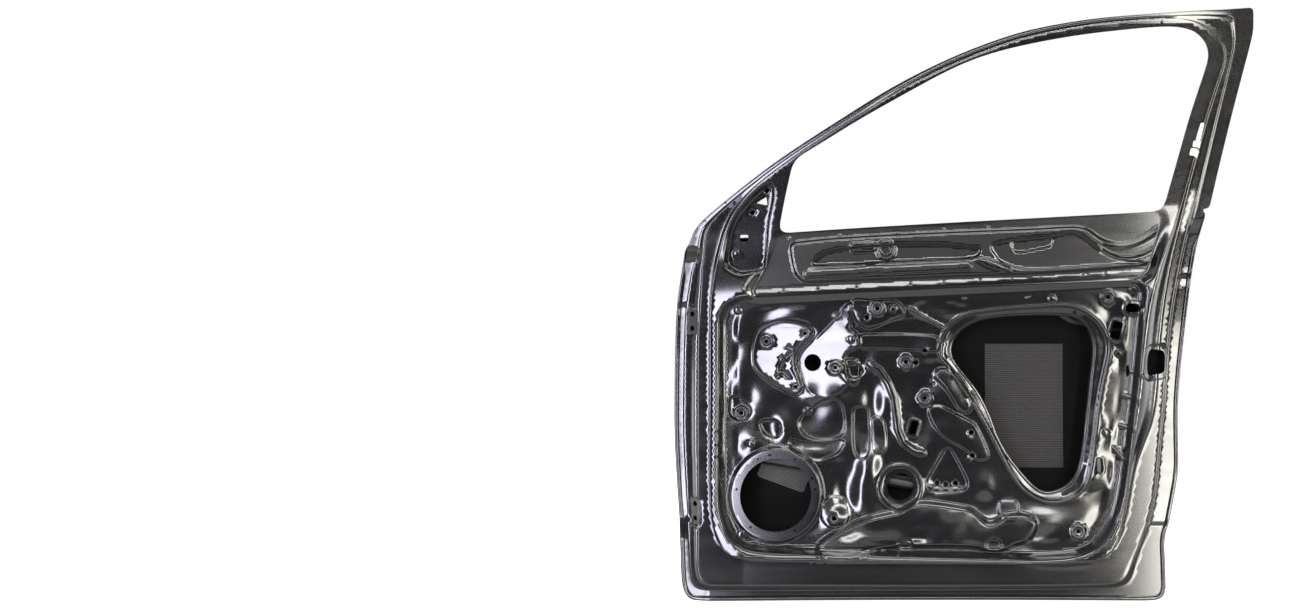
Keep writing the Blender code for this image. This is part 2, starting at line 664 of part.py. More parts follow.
def hinge_pad_y(centre):
    """The plane of one hinge pad: upright in Z, sloping inboard towards the rear."""
    x0, z0 = centre
    outer = float(flange_y(x0, z0))
    inner = float(land_y(x0, z0))
    slope = (outer - inner) / front_wall_run

    def plane(x, z):
        return (outer + inner) / 2 - (x - x0) * slope + 0 * z
    return plane


def inner_outline():
    """Edge of the inner panel: just inside the hem, then round the window frame."""
    skin_loop = inset(skin_outline(), hem_side_gap + skin_thickness)
    hemmed = [point for point in skin_loop if above_belt(*point) < -hem_fade_start]
    return hemmed + divided(to_places(frame_edge_shares), edge_spacing)


def inner_sheet():
    """The inner panel before it is thickened, with its levels, openings and forms."""
    sheet = Pressing(inner_outline(), flange_y)
    sheet.lines.append(inset(skin_outline(), hem_line_inset))
    foot = divided(to_places(land_foot_shares), edge_spacing)
    sheet.lay(to_places(land_top_shares), land_y, foot=foot)
    sheet.lay(to_places(ridge_top_shares), trim_y, foot=to_places(ridge_foot_shares))
    sheet.lay(to_places(field_shares), lambda x, z: side_y(x, z) - field_level, soft_run)
    sheet.lay(to_places(belt_zone_shares), belt_y, soft_run)
    sheet.lines += belt_lines()
    sheet.lay(to_places(mirror_field_shares), lambda x, z: side_y(x, z) - mirror_level, form_run)
    sheet.cut(to_places(window_shares))
    for run in character_runs(0, front_run_end) + character_runs(rear_run_start, door_length):
        sheet.lines.append(close_run(run))
    add_hinge_pads(sheet)
    add_access_opening(sheet)
    add_speaker_ring(sheet)
    add_field_forms(sheet)
    add_field_holes(sheet)
    add_latch_opening(sheet)
    return sheet


def add_hinge_pads(sheet):
    for _, z_share in hinge_shares:
        centre = hinge_centre(z_share)
        loop = cut_box(centre, hinge_pad_width, hinge_pad_height, hinge_bolt_radius)
        sheet.lay(loop, hinge_pad_y(centre), boss_run)
        for bolt in hinge_bolts(centre):
            sheet.cut(circle(bolt, hinge_bolt_radius, 8))


def add_access_opening(sheet):
    outer = to_places(access_outer_shares)
    sheet.raise_form(inset(outer, sharp_run), -access_sink, sharp_run)
    sheet.cut(to_places(access_edge_shares))


def tangent_plane(centre, level):
    """The flat face that lies level with the side surface at one place."""
    x0, z0 = centre
    middle = float(side_y(x0, z0))
    slope_x = (float(side_y(x0 + form_run, z0)) - middle) / form_run
    slope_z = (float(side_y(x0, z0 + form_run)) - middle) / form_run

    def plane(x, z):
        return middle - level + (x - x0) * slope_x + (z - z0) * slope_z
    return plane


def add_speaker_ring(sheet):
    centre = to_place(speaker_share)
    ring = circle(centre, speaker_ring_radius, 28)
    sheet.lay(ring, tangent_plane(centre, speaker_level), form_run)
    sheet.cut(circle(centre, speaker_hole_radius, 28))
    for degrees in speaker_screw_angles:
        angle = math.radians(degrees)
        spot = (centre[0] + speaker_screw_radius * math.cos(angle),
                centre[1] + speaker_screw_radius * math.sin(angle))
        sheet.cut(circle(spot, speaker_screw_hole, 5))
    collar = to_place(collar_share)
    sheet.raise_form(circle(collar, collar_radius, 14), -middle_sink, form_run)
    sheet.cut(circle(collar, collar_hole_radius, 14))


def add_field_forms(sheet):
    """Raised and sunk areas of the recessed field."""
    for loops, rise, run in (
            (high_shares, high_rise, form_run), (middle_shares, middle_rise, sharp_run),
            (low_shares, low_rise, sharp_run), (shallow_shares, -shallow_sink, sharp_run),
            (dish_shares, -middle_sink, sharp_run), (pocket_shares, -deep_sink, sharp_run)):
        for loop in loops:
            sheet.raise_form(to_places(loop), rise, run)
    ridge = bead_loop(to_places(s_ridge_shares), s_ridge_half_width / 2)
    sheet.raise_form(ridge, middle_rise, sharp_run)
    for line in side_rib_shares:
        sheet.raise_form(bead_loop(to_places(line), rib_half_width / 2), rib_rise, rib_half_width)
    for share in dome_shares:
        sheet.raise_form(circle(to_place(share), dome_radius / 2, 6), dome_rise, boss_run)
    sheet.raise_form(circle(to_place(cup_share), boss_radius, 10), -shallow_sink, boss_run)
    for share in boss_shares:
        sheet.boss(to_place(share), boss_radius, boss_rise, boss_hole_radius)


def add_field_holes(sheet):
    sheet.cut(circle(to_place(big_hole_share), big_hole_radius, 12))
    for share in clip_shares:
        sheet.cut(circle(to_place(share), clip_radius, 6))
    tall = to_place(tall_hole_share)
    sheet.cut(cut_box(tall, tall_hole_width, tall_hole_height, clip_radius, tall_hole_degrees))
    sheet.cut(slot(to_place(oval_hole_share), oval_hole_length, oval_hole_width))
    sheet.cut(slot(to_place(rod_slot_share), rod_slot_length, rod_slot_width, 90))
    key = to_place(key_hole_share)
    sheet.cut(cut_box(key, key_hole_width, key_hole_height, rib_rise, tall_hole_degrees))
    for loop in mirror_hole_shares:
        sheet.cut(to_places(loop))


def add_latch_opening(sheet):
    loop = to_places(latch_shares)
    sheet.raise_form(inset(loop, -latch_pad_margin), -latch_sink, boss_run)
    sheet.cut(loop)


def make_inner_panel():
    return pressed_part("inner_panel", inner_sheet(), inner_thickness, inner_spacing, coat_colour)


# Forms of the inner belt panel, all raised towards the cabin from its weld flanges
belt_panel_margin = 0.003
belt_panel_gap = 0.0010
belt_line_start_share = 0.175
belt_line_end_share = 0.838
bead_rise = 0.008
wave_rise = 0.011
web_rise = 0.006
bead_line_shares = ((0.240, 0.554), (0.330, 0.558), (0.348, 0.560), (0.440, 0.565), (0.534, 0.569))
bead_half_width = 0.0085
wave_shares = (
    (0.614, 0.637), (0.648, 0.632), (0.691, 0.632), (0.734, 0.625), (0.759, 0.612), (0.783, 0.599),
    (0.807, 0.601), (0.832, 0.616), (0.843, 0.634), (0.841, 0.612), (0.832, 0.592), (0.823, 0.583),
    (0.771, 0.583), (0.752, 0.592), (0.712, 0.613), (0.672, 0.618), (0.622, 0.624))
web_shares = (
    (0.202, 0.617), (0.236, 0.613), (0.261, 0.615), (0.304, 0.622), (0.407, 0.625), (0.545, 0.635),
    (0.580, 0.630), (0.566, 0.612), (0.552, 0.602), (0.511, 0.609), (0.450, 0.611), (0.407, 0.616),
    (0.356, 0.619), (0.301, 0.617), (0.268, 0.613), (0.240, 0.604), (0.224, 0.592), (0.217, 0.586),
    (0.200, 0.600))
low_web_shares = (
    (0.560, 0.578), (0.760, 0.589), (0.752, 0.577), (0.640, 0.571), (0.560, 0.567))
belt_hole_share = (0.384, 0.603)
belt_hole_radius = 0.007
belt_clip_shares = ((0.310, 0.588), (0.520, 0.590), (0.620, 0.600), (0.700, 0.597))

# The window frame's outer halves
frame_gap = 0.0008
header_shares = (
    (0.206, 0.7625), (0.297, 0.8175), (0.395, 0.8750), (0.491, 0.9195), (0.576, 0.9495),
    (0.638, 0.9655), (0.733, 0.9790), (0.827, 0.9850), (0.898, 0.9885), (0.900, 0.9645),
    (0.870, 0.9700), (0.838, 0.9710), (0.791, 0.9680), (0.697, 0.9590), (0.602, 0.9425),
    (0.538, 0.9265), (0.487, 0.9065), (0.423, 0.8745), (0.334, 0.8285), (0.276, 0.7950),
    (0.226, 0.7660), (0.219, 0.7550))
header_bead_shares = (
    (0.250, 0.787), (0.334, 0.834), (0.425, 0.881), (0.489, 0.912), (0.540, 0.932), (0.604, 0.9485),
    (0.698, 0.965), (0.792, 0.974), (0.870, 0.9775))
pillar_shares = (
    (0.902, 0.9895), (0.945, 0.9915), (0.992, 0.9940), (0.995, 0.971), (0.996, 0.953), (0.984, 0.888),
    (0.972, 0.823), (0.958, 0.745), (0.946, 0.676), (0.916, 0.670), (0.8775, 0.6705), (0.896, 0.748),
    (0.914, 0.826), (0.931, 0.902), (0.932, 0.922), (0.924, 0.944), (0.904, 0.9630))
pillar_bead_shares = (
    (0.912, 0.700), (0.929, 0.790), (0.946, 0.880), (0.955, 0.930))
header_bead_half_width = 0.003
header_bead_rise = 0.003
mirror_plate_shares = (
    (0.203, 0.7600), (0.126, 0.7050), (0.067, 0.6585), (0.052, 0.6420), (0.060, 0.6320),
    (0.186, 0.6390), (0.192, 0.6700), (0.207, 0.7240), (0.215, 0.7530))
mirror_dish_shares = (
    (0.188, 0.738), (0.135, 0.700), (0.088, 0.664), (0.092, 0.648), (0.170, 0.651), (0.178, 0.690))
mirror_dish_depth = 0.005
mirror_plate_hole_shares = (
    ((0.176, 0.697), (0.154, 0.684), (0.178, 0.679)),
    ((0.129, 0.662), (0.143, 0.662), (0.143, 0.669), (0.129, 0.669)))

# Braces between the two panels
beam_radius = 0.014
beam_wall = 0.002
beam_front_level = 0.0250
beam_rear_level = 0.0273
beam_front_share = (0.085, 0.2550)
beam_rear_share = (0.765, 0.1385)
bracket_half_width = 0.024
bracket_front_overrun = 0.0293
bracket_length = 0.070
bracket_rear_overrun = 0.0573
bracket_rear_length = 0.100
mastic_shares = (0.28, 0.43, 0.60)
mastic_radius = 0.009
rail_top_drop = 0.020
rail_bottom_drop = 0.068
rail_start_share = 0.070
rail_end_share = 0.895
rail_bead_rise = 0.007
rail_bead_inset = 0.014
hinge_plate_margin = 0.006
hinge_plate_thickness = 0.0025
latch_plate_margin = 0.014
latch_plate_gap = 0.0016
handle_plate_margin = 0.010
handle_ring_start = (11, 8)
latch_ring_start = (5, 1)
handle_plate_clearance = 0.0015
rear_pad_shares = ((0.557, 0.220), (0.697, 0.220), (0.697, 0.439), (0.557, 0.439))
front_pad_share = (0.197, 0.2075)
front_pad_length = 0.105
front_pad_width = 0.042
front_pad_degrees = -20
pad_thickness = 0.002
pad_gap = 0.0013
nut_radius = 0.0085
nut_height = 0.005


def belt_lines():
    """Level lines that the inner panel and the belt panel share, so that they stay parallel."""
    ends = (belt_line_start_share * door_length, belt_line_end_share * door_length)
    lines = []
    for drop in (belt_fall, belt_fall / 2):
        lines.append(close_run([(x, float(line_height(x, belt_shares)) - drop) for x in ends]))
    return lines


def belt_panel_outline():
    return inset(to_places(belt_zone_shares), belt_panel_margin)


def make_belt_panel():
    """The pressed panel that closes the belt on the cabin side."""
    sheet = Pressing(belt_panel_outline(), lambda x, z: belt_y(x, z) - belt_panel_gap - inner_thickness)
    bead = bead_loop(to_places(bead_line_shares), bead_half_width / 2)
    sheet.raise_form(bead, bead_rise, sharp_run)
    sheet.raise_form(to_places(wave_shares), wave_rise, form_run)
    sheet.raise_form(to_places(web_shares), web_rise, sharp_run)
    sheet.raise_form(to_places(low_web_shares), web_rise, sharp_run)
    sheet.lines += belt_lines()
    sheet.boss(to_place(belt_hole_share), boss_radius, boss_rise, belt_hole_radius, 10)
    for share in belt_clip_shares:
        sheet.cut(circle(to_place(share), clip_radius, 6))
    return pressed_part("inner_belt_panel", sheet, inner_thickness, brace_spacing, coat_colour)


def frame_outer_y(x, z):
    """Cabin face of the window frame's outer halves, which lie against the inner panel's flange."""
    return side_y(x, z) - frame_flange_level + inner_thickness + frame_gap


def make_header():
    sheet = Pressing(to_places(header_shares), frame_outer_y)
    bead = bead_loop(to_places(header_bead_shares), header_bead_half_width)
    sheet.raise_form(bead, -header_bead_rise, header_bead_half_width)
    return pressed_part("header_outer", sheet, inner_thickness, inner_spacing, coat_colour)


def make_pillar():
    sheet = Pressing(to_places(pillar_shares), frame_outer_y)
    bead = bead_loop(to_places(pillar_bead_shares), header_bead_half_width)
    sheet.raise_form(bead, -header_bead_rise, header_bead_half_width)
    return pressed_part("pillar_outer", sheet, inner_thickness, inner_spacing, coat_colour)


def make_mirror_plate():
    sheet = Pressing(to_places(mirror_plate_shares), frame_outer_y)
    sheet.raise_form(to_places(mirror_dish_shares), -mirror_dish_depth, sharp_run)
    for loop in mirror_plate_hole_shares:
        sheet.cut(to_places(loop))
    return pressed_part("mirror_plate", sheet, inner_thickness, inner_spacing, coat_colour)


def beam_ends():
    """Axis ends of the side impact beam, clear of the skin and of the inner panel's land."""
    ends = []
    for share, level in ((beam_front_share, beam_front_level), (beam_rear_share, beam_rear_level)):
        x, z = to_place(share)
        ends.append(Vector((x, float(side_y(x, z)) - level, z)))
    return ends


def beam_point(x):
    front, rear = beam_ends()
    return front + (rear - front) * ((x - front.x) / (rear.x - front.x))


def make_beam():
    """A straight steel tube across the door."""
    front, rear = beam_ends()
    axis = rear - front
    bm = bmesh.new()
    turn = axis.to_track_quat("Z", "Y").to_matrix().to_4x4()
    frame = Matrix.Translation((front + rear) / 2) @ turn
    rings = []
    for radius in (beam_radius, beam_radius - beam_wall):
        for end in (-1, 1):
            ring = []
            for step in range(16):
                angle = 2 * math.pi * step / 16
                place = Vector((radius * math.cos(angle), radius * math.sin(angle), end * axis.length / 2))
                ring.append(bm.verts.new(frame @ place))
            rings.append(ring)
    outer_low, outer_high, inner_low, inner_high = rings
    for a, b in ((outer_low, outer_high), (outer_high, inner_high), (inner_high, inner_low),
                 (inner_low, outer_low)):
        for step in range(16):
            after = (step + 1) % 16
            bm.faces.new((a[step], a[after], b[after], b[step]))
    bmesh.ops.recalc_face_normals(bm, faces=bm.faces[:])
    return add_part("impact_beam", bm, brace_colour)


def make_beam_bracket(name, x_start, x_end):
    """A flat plate on the cabin side of the beam's end, reaching out to the door's edge."""
    corners = []
    for x, side in ((x_start, -1), (x_end, -1), (x_end, 1), (x_start, 1)):
        corners.append((x, beam_point(x).z + side * bracket_half_width))
    front = beam_point(x_start).y
    rise = (beam_point(x_end).y - front) / (x_end - x_start)
    level = beam_radius + sheet_gap + brace_thickness
    sheet = Pressing(corners, lambda x, z: front + (x - x_start) * rise - level + 0 * z)
    return pressed_part(name, sheet, brace_thickness, brace_spacing, brace_colour)


def make_beam_brackets():
    front, rear = beam_ends()
    start = front.x - bracket_front_overrun
    make_beam_bracket("beam_bracket_front", start, start + bracket_length)
    end = rear.x + bracket_rear_overrun
    make_beam_bracket("beam_bracket_rear", end - bracket_rear_length, end)


def make_mastic():
    """Blobs of mastic that hold the skin against the beam."""
    for index, share in enumerate(mastic_shares):
        middle = beam_point(share * door_length)
        low = middle.y + beam_radius + sheet_gap
        spot = circle((middle.x, middle.z), mastic_radius, 10)
        high = float(skin_y(*np.array(spot).T).min()) - skin_thickness - loose_gap
        sheet = Pressing(spot, lambda x, z, y=low: y + 0 * x)
        pressed_part("beam_mastic_" + str(index + 1), sheet, high - low, brace_spacing, mastic_colour)


def make_belt_rail():
    """The reinforcement inside the skin along the belt."""
    stations = np.linspace(rail_start_share * door_length, rail_end_share * door_length, 12)
    top = [(x, float(line_height(x, belt_shares)) - rail_top_drop) for x in stations]
    low = [(x, float(line_height(x, belt_shares)) - rail_bottom_drop) for x in stations[::-1]]
    outline = low + top
    level = skin_thickness + loose_gap + inner_thickness
    sheet = Pressing(outline, lambda x, z: skin_y(x, z) - level)
    sheet.raise_form(inset(outline, rail_bead_inset), rail_bead_rise, sharp_run)
    return pressed_part("outer_belt_rail", sheet, inner_thickness, inner_spacing, brace_colour)


def make_hinge_plates():
    """Thick plates behind the two hinge pads."""
    for name, z_share in hinge_shares:
        centre = hinge_centre(z_share)
        plane = hinge_pad_y(centre)
        lift = inner_thickness * steepest_share / 2 + wide_gap
        width = hinge_pad_width - hinge_plate_margin
        height = hinge_pad_height - hinge_plate_margin
        sheet = Pressing(cut_box(centre, width, height, hinge_bolt_radius / 2),
                         lambda x, z, plane=plane, lift=lift: plane(x, z) + lift)
        for bolt in hinge_bolts(centre):
            sheet.cut(circle(bolt, hinge_bolt_radius, 8))
        pressed_part(name + "_hinge_plate", sheet, hinge_plate_thickness / 2, brace_spacing, brace_colour)


def open_ring(loop, start, margin):
    """A ring round a loop that stays open towards the door's rear edge."""
    outer = inset(loop, -margin)
    near = inset(loop, -handle_plate_clearance)
    first, last = start
    return outer[first:] + outer[:last] + near[:last][::-1] + near[first:][::-1]


def make_latch_plate(inner):
    """A plate on the outboard side of the inner panel round the latch opening."""
    loop = to_places(latch_shares)
    shift = inner_thickness * steepest_share + latch_plate_gap
    outline = open_ring(loop, latch_ring_start, latch_plate_margin)

    def surface(x, z):
        return inner.face(np.column_stack((x, z))) + shift
    sheet = Pressing(outline, surface)
    near = [line for line in inner.lines if edge_distance(np.array(line), outline).min() < latch_plate_margin]
    sheet.lines += near
    return pressed_part("latch_plate", sheet, brace_thickness, brace_spacing, brace_colour)


def make_handle_plate():
    """The ring that stiffens the skin round the handle recess."""
    level = skin_thickness + loose_gap + brace_thickness
    outline = open_ring(to_places(handle_shares), handle_ring_start, handle_plate_margin)
    sheet = Pressing(outline, lambda x, z: skin_y(x, z) - level)
    for run in character_runs(0, door_length):
        sheet.lines.append(close_run(run))
    return pressed_part("handle_reinforcement", sheet, brace_thickness, brace_spacing, brace_colour)


def make_pads():
    """Damping pads on the inside of the skin, seen through the inner panel's openings."""
    level = skin_thickness + pad_gap + pad_thickness
    rear = divided(to_places(rear_pad_shares), edge_spacing)
    front = cut_box(to_place(front_pad_share), front_pad_length, front_pad_width, clip_radius, front_pad_degrees)
    for name, outline in (("skin_pad_rear", rear), ("skin_pad_front", front)):
        sheet = Pressing(outline, lambda x, z: skin_y(x, z) - level)
        sheet.lines += [close_run(run) for run in character_runs(0, door_length)]
        pressed_part(name, sheet, pad_thickness, brace_spacing, pad_colour)


def make_nuts(inner):
    """Weld nuts on the outboard side of the bosses."""
    for index, share in enumerate(boss_shares):
        centre = to_place(share)
        depth = inner.face(np.array(circle(centre, boss_hole_radius * 2, 6))).max()
        low = float(depth) + inner_thickness + sheet_gap
        sheet = Pressing(circle(centre, nut_radius, 6), lambda x, z, y=low: y + 0 * x)
        sheet.cut(circle(centre, boss_hole_radius, 6))
        pressed_part("weld_nut_0" + str(index + 1), sheet, nut_height, brace_spacing, nut_colour)


def skin_outline():
    return divided(to_places(skin_edge_shares), edge_spacing)


def lines_across(table, offsets, x_start, x_end):
    """Runs of a character line and its edges between two stations."""
    knees = [share[0] * door_length for share in table if x_start < share[0] * door_length < x_end]
    stations = np.array([x_start] + knees + [x_end])
    runs = []
    for offset in offsets:
        heights = line_height(stations, table) + offset
        runs.append(list(zip(stations, heights)))
    return runs


def character_runs(x_start, x_end):
    steps = (-shoulder_fade, -shoulder_step, 0, shoulder_step, shoulder_step + shoulder_edge)
    runs = lines_across(shoulder_shares, steps, x_start, x_end)
    runs += lines_across(crease_shares, (0,), x_start, x_end)
    runs += lines_across(lower_line_shares, (0, -cladding_run), x_start, x_end)
    return runs


def make_skin():
    """The outer panel: an open sheet whose edge is folded into a hem, with a belt shelf on top."""
    outline = skin_outline()
    sheet = Pressing(outline, skin_y)
    sheet.lines.append(inset(outline, hem_line_inset))
    sheet.lines.append(divided(to_places(land_foot_shares), edge_spacing))
    for run in character_runs(0, door_length):
        sheet.lines.append(close_run(run))
    handle = to_places(handle_shares)
    sheet.raise_form(inset(handle, handle_run), handle_depth, handle_run)
    for _, x_share, z_share in handle_holes:
        centre = to_place((x_share, z_share))
        sheet.cut(cut_box(centre, handle_hole_width, handle_hole_height, handle_hole_corner))
    for share in cladding_hole_shares:
        sheet.cut(circle(to_place(share), clip_hole_radius, 6))
    for share in drain_slot_shares:
        sheet.cut(slot(to_place(share), drain_slot_length, drain_slot_width))
    for share in arch_shares:
        centre = to_place(share)
        line = []
        for step in range(7):
            angle = math.pi * step / 6
            line.append((centre[0] + arch_radius * math.cos(angle), centre[1] + arch_radius * math.sin(angle)))
        sheet.raise_form(bead_loop(line, arch_half_width), arch_rise, arch_half_width)
    bm = sheet.mesh(skin_spacing)
    fold_hem(bm, outline)
    return add_part("outer_panel", bm, coat_colour)


def beside(point, flat, loop):
    """The place on an inset loop that belongs to a point of the original loop."""
    run = np.roll(flat, -1, axis=0) - flat
    share = np.clip(((point - flat) * run).sum(axis=1) / (run ** 2).sum(axis=1), 0, 1)
    gaps = np.hypot(*(point - flat - share[:, None] * run).T)
    index = int(np.argmin(gaps))
    return loop[index] + share[index] * (loop[(index + 1) % len(loop)] - loop[index])


def hem_section(vert, flat, loops):
    """Points of the folded edge at one place: wall, return, the return's inside, the wall's inside."""
    here = np.array((vert.co.x, vert.co.z))
    over = float(above_belt(*here))
    hemmed = over < -hem_fade_start
    depth = 2 * skin_thickness + inner_thickness + 2 * sheet_gap
    depth += (belt_shelf - depth) * float(ramp(over, -hem_fade_end, -skin_thickness))
    wall = beside(here, flat, loops["wall"])
    end = beside(here, flat, loops["hem" if hemmed else "belt" if over > -hem_side_gap else "fade"])
    end_y = float(skin_y(*end)) - depth if hemmed else vert.co.y - depth
    return ((here[0], vert.co.y - depth, here[1]), (end[0], end_y, end[1]),
            (end[0], end_y + skin_thickness, end[1]), (wall[0], vert.co.y - depth + skin_thickness, wall[1]),
            (wall[0], vert.co.y - skin_thickness, wall[1]))


def fold_hem(bm, outline):
    """Give the open skin its thickness and fold its edge back under the inner panel's flange."""
    flat = np.array(outline)
    loops = {"wall": skin_thickness, "hem": hem_return, "belt": belt_lip, "fade": belt_lip / steepest_share}
    loops = {name: np.array(inset(outline, reach)) for name, reach in loops.items()}
    faces = bm.faces[:]
    open_edges = [edge for edge in bm.edges if edge.is_boundary]
    rim = set()
    for edge in open_edges:
        ends = np.array([(vert.co.x, vert.co.z) for vert in edge.verts])
        if edge_distance(ends.mean(axis=0)[None, :], outline)[0] < skin_thickness:
            rim.update(edge.verts)
    rows = {}
    for vert in bm.verts[:]:
        if vert in rim:
            rows[vert] = [vert] + [bm.verts.new(place) for place in hem_section(vert, flat, loops)]
        else:
            rows[vert] = [vert, bm.verts.new(vert.co - Vector((0, skin_thickness, 0)))]
    for face in faces:
        bm.faces.new([rows[vert][-1] for vert in reversed(face.verts)])
    for edge in open_edges:
        first, last = edge.verts
        for step in range(len(rows[first]) - 1):
            bm.faces.new((rows[first][step], rows[first][step + 1], rows[last][step + 1], rows[last][step]))
    bmesh.ops.recalc_face_normals(bm, faces=bm.faces[:])


def door_datum():
    """The empty that puts the upper hinge pad's centre at the world's origin."""
    datum = bpy.data.objects.new("door_datum", None)
    x, z = hinge_centre(hinge_shares[0][1])
    y = float(hinge_pad_y((x, z))(x, z))
    datum.location = (-x, -y, -z)
    bpy.data.collections["car_door_shell"].objects.link(datum)
    return datum


def clear_scene():
    for item in list(bpy.data.objects):
        bpy.data.objects.remove(item, do_unlink=True)
    for name in ("car_door_shell",):
        collection = bpy.data.collections.new(name)
        bpy.context.scene.collection.children.link(collection)


def main():
    clear_scene()
    door_datum()
    inner = inner_sheet()
    make_skin()
    make_inner_panel()
    make_belt_panel()
    make_header()
    make_pillar()
    make_mirror_plate()
    make_beam()
    make_beam_brackets()
    make_mastic()
    make_belt_rail()
    make_hinge_plates()
    make_latch_plate(inner)
    make_handle_plate()
    make_pads()
    make_nuts(inner)


main()
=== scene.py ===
import math

import bpy
import numpy as np
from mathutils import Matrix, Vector
from mathutils.geometry import delaunay_2d_cdt
from mathutils.kdtree import KDTree


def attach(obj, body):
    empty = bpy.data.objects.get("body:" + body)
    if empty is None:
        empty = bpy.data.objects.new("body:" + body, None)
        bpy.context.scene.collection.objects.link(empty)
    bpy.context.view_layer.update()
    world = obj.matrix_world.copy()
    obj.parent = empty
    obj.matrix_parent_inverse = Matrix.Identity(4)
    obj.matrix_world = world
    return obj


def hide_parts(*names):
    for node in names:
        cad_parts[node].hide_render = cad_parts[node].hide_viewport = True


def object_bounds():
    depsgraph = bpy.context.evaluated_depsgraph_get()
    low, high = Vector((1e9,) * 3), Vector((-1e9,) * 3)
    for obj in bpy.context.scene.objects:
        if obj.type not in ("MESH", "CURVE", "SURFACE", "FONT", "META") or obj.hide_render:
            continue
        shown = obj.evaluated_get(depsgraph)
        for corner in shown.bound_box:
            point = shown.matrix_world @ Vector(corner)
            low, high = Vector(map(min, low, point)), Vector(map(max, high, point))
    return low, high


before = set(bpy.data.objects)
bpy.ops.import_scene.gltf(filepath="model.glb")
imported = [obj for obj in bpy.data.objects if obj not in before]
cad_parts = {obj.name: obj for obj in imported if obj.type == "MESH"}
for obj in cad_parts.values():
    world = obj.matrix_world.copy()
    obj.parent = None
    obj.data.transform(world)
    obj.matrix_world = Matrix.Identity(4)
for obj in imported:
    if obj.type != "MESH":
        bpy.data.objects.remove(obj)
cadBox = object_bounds()

# The door's own frame: X and Z start at the skin's front and bottom edges, Y is 0 at its widest.
# Tables of places hold thousandths of the door's length and height.
door = {
    "length": 1.180, "height": 1.190, "origin": (-0.04442, 0.0394227, -0.5712),
    "tumblehome": 0.150, "tumblehomePower": 1.8, "sillTuck": 0.060, "planCrown": 0.012, "widest": 0.40,
    "skin": 0.0008, "sheet": 0.0010, "gap": 0.0006,
    "landLevel": 0.047, "frameLandLevel": 0.038, "trimLevel": 0.100, "frameLevel": 0.060,
    "flangeLevel": 0.028, "beltTop": 0.060, "beltLow": 0.079, "field": 0.075, "mirror": 0.045,
    "beltFall": 0.120, "stepStart": 0.045, "stepEnd": 0.015,
    "crest": 0.0014, "undercut": 0.0012, "shoulderStep": 0.012, "shoulderFade": 0.090,
    "shoulderEdge": 0.010, "tuckDepth": 0.012, "tuckReach": 0.050, "claddingStep": 0.003,
    "claddingRun": 0.014, "shallowTurn": 0.90, "skinSink": 0.0004, "halfGap": 0.0008,
    "turnStart": 0.48,
    "belt": ((66, 623), (945, 672)),
    "shoulder": ((0, 502), (940, 554.9)),
    "crease": ((0, 132), (65, 152), (130, 176), (903, 213)),
    "lower": ((0, 112), (885, 132))}
tiny = 1e-9


def toPlace(share):
    return share[0] / 1000 * door["length"], share[1] / 1000 * door["height"]


def toPlaces(table):
    return [toPlace(share) for share in table]


def lineHeight(x, table):
    return np.interp(x, *np.array(toPlaces(table)).T)


def ramp(value, start, end):
    return np.clip((value - start) / (end - start), 0, 1)


def softRamp(value, start, end):
    step = ramp(value, start, end)
    return step * step * (3 - 2 * step)


def aboveBelt(x, z):
    return z - lineHeight(x, door["belt"])


def sideY(x, z):
    widest = door["widest"] * door["height"]
    above = np.clip(z - widest, 0, None) / (door["height"] - widest)
    below = np.clip(widest - z, 0, None) / widest
    along = 2 * x / door["length"] - 1
    return (-door["tumblehome"] * above ** door["tumblehomePower"] - door["sillTuck"] * below ** 2
            - door["planCrown"] * along ** 2)


def skinY(x, z):
    over = z - lineHeight(x, door["shoulder"])
    step = door["shoulderStep"]
    places = (-door["shoulderFade"], -step, 0, step, step + door["shoulderEdge"])
    shoulder = np.interp(over, places, (0, -door["undercut"], door["crest"], -door["undercut"] / 2, 0))
    crease = lineHeight(x, door["crease"])
    lower = lineHeight(x, door["lower"])
    band = np.maximum(crease - lower, tiny)
    tuck = np.clip((crease - z) / band, 0, 1) * np.minimum(band / door["tuckReach"], 1) * door["tuckDepth"]
    cladding = np.clip((lower - z) / door["claddingRun"], 0, 1) * door["claddingStep"]
    return sideY(x, z) + shoulder - tuck - cladding - door["skinSink"]


def flangeY(x, z):
    hemLevel = door["skin"] + door["gap"] + door["sheet"]
    step = softRamp(aboveBelt(x, z), -door["stepStart"], -door["stepEnd"])
    return skinY(x, z) - hemLevel - (door["flangeLevel"] - hemLevel) * step


def landY(x, z):
    step = softRamp(aboveBelt(x, z), -door["stepStart"], door["stepStart"])
    return sideY(x, z) - door["landLevel"] - (door["frameLandLevel"] - door["landLevel"]) * step


def trimY(x, z):
    step = softRamp(aboveBelt(x, z), -door["beltFall"] - door["stepStart"], door["stepEnd"])
    return sideY(x, z) - door["trimLevel"] - (door["frameLevel"] - door["trimLevel"]) * step


def beltY(x, z):
    step = ramp(aboveBelt(x, z), -door["beltFall"], 0)
    return sideY(x, z) - door["beltLow"] - (door["beltTop"] - door["beltLow"]) * step


def frameOuterY(x, z):
    return sideY(x, z) - door["flangeLevel"] + door["sheet"] + door["halfGap"]


# Where a place in the photograph's inside view lies on the door, at a level along the door's Y
view = {"column": 939, "row": 305, "focal": 986, "x": 0.560, "y": -2.100, "z": 0.607, "width": 1311,
        "sensor": 36.0}


def photoPlace(column, row, level):
    scale = (level - view["y"]) / view["focal"]
    return (view["x"] + (column - view["column"]) * scale, view["z"] - (row - view["row"]) * scale)


def photoLoop(table, level):
    return [photoPlace(column, row, level) for column, row in table]


def loopArea(loop):
    return sum(x0 * z1 - x1 * z0 for (x0, z0), (x1, z1) in zip(loop, loop[1:] + loop[:1])) / 2


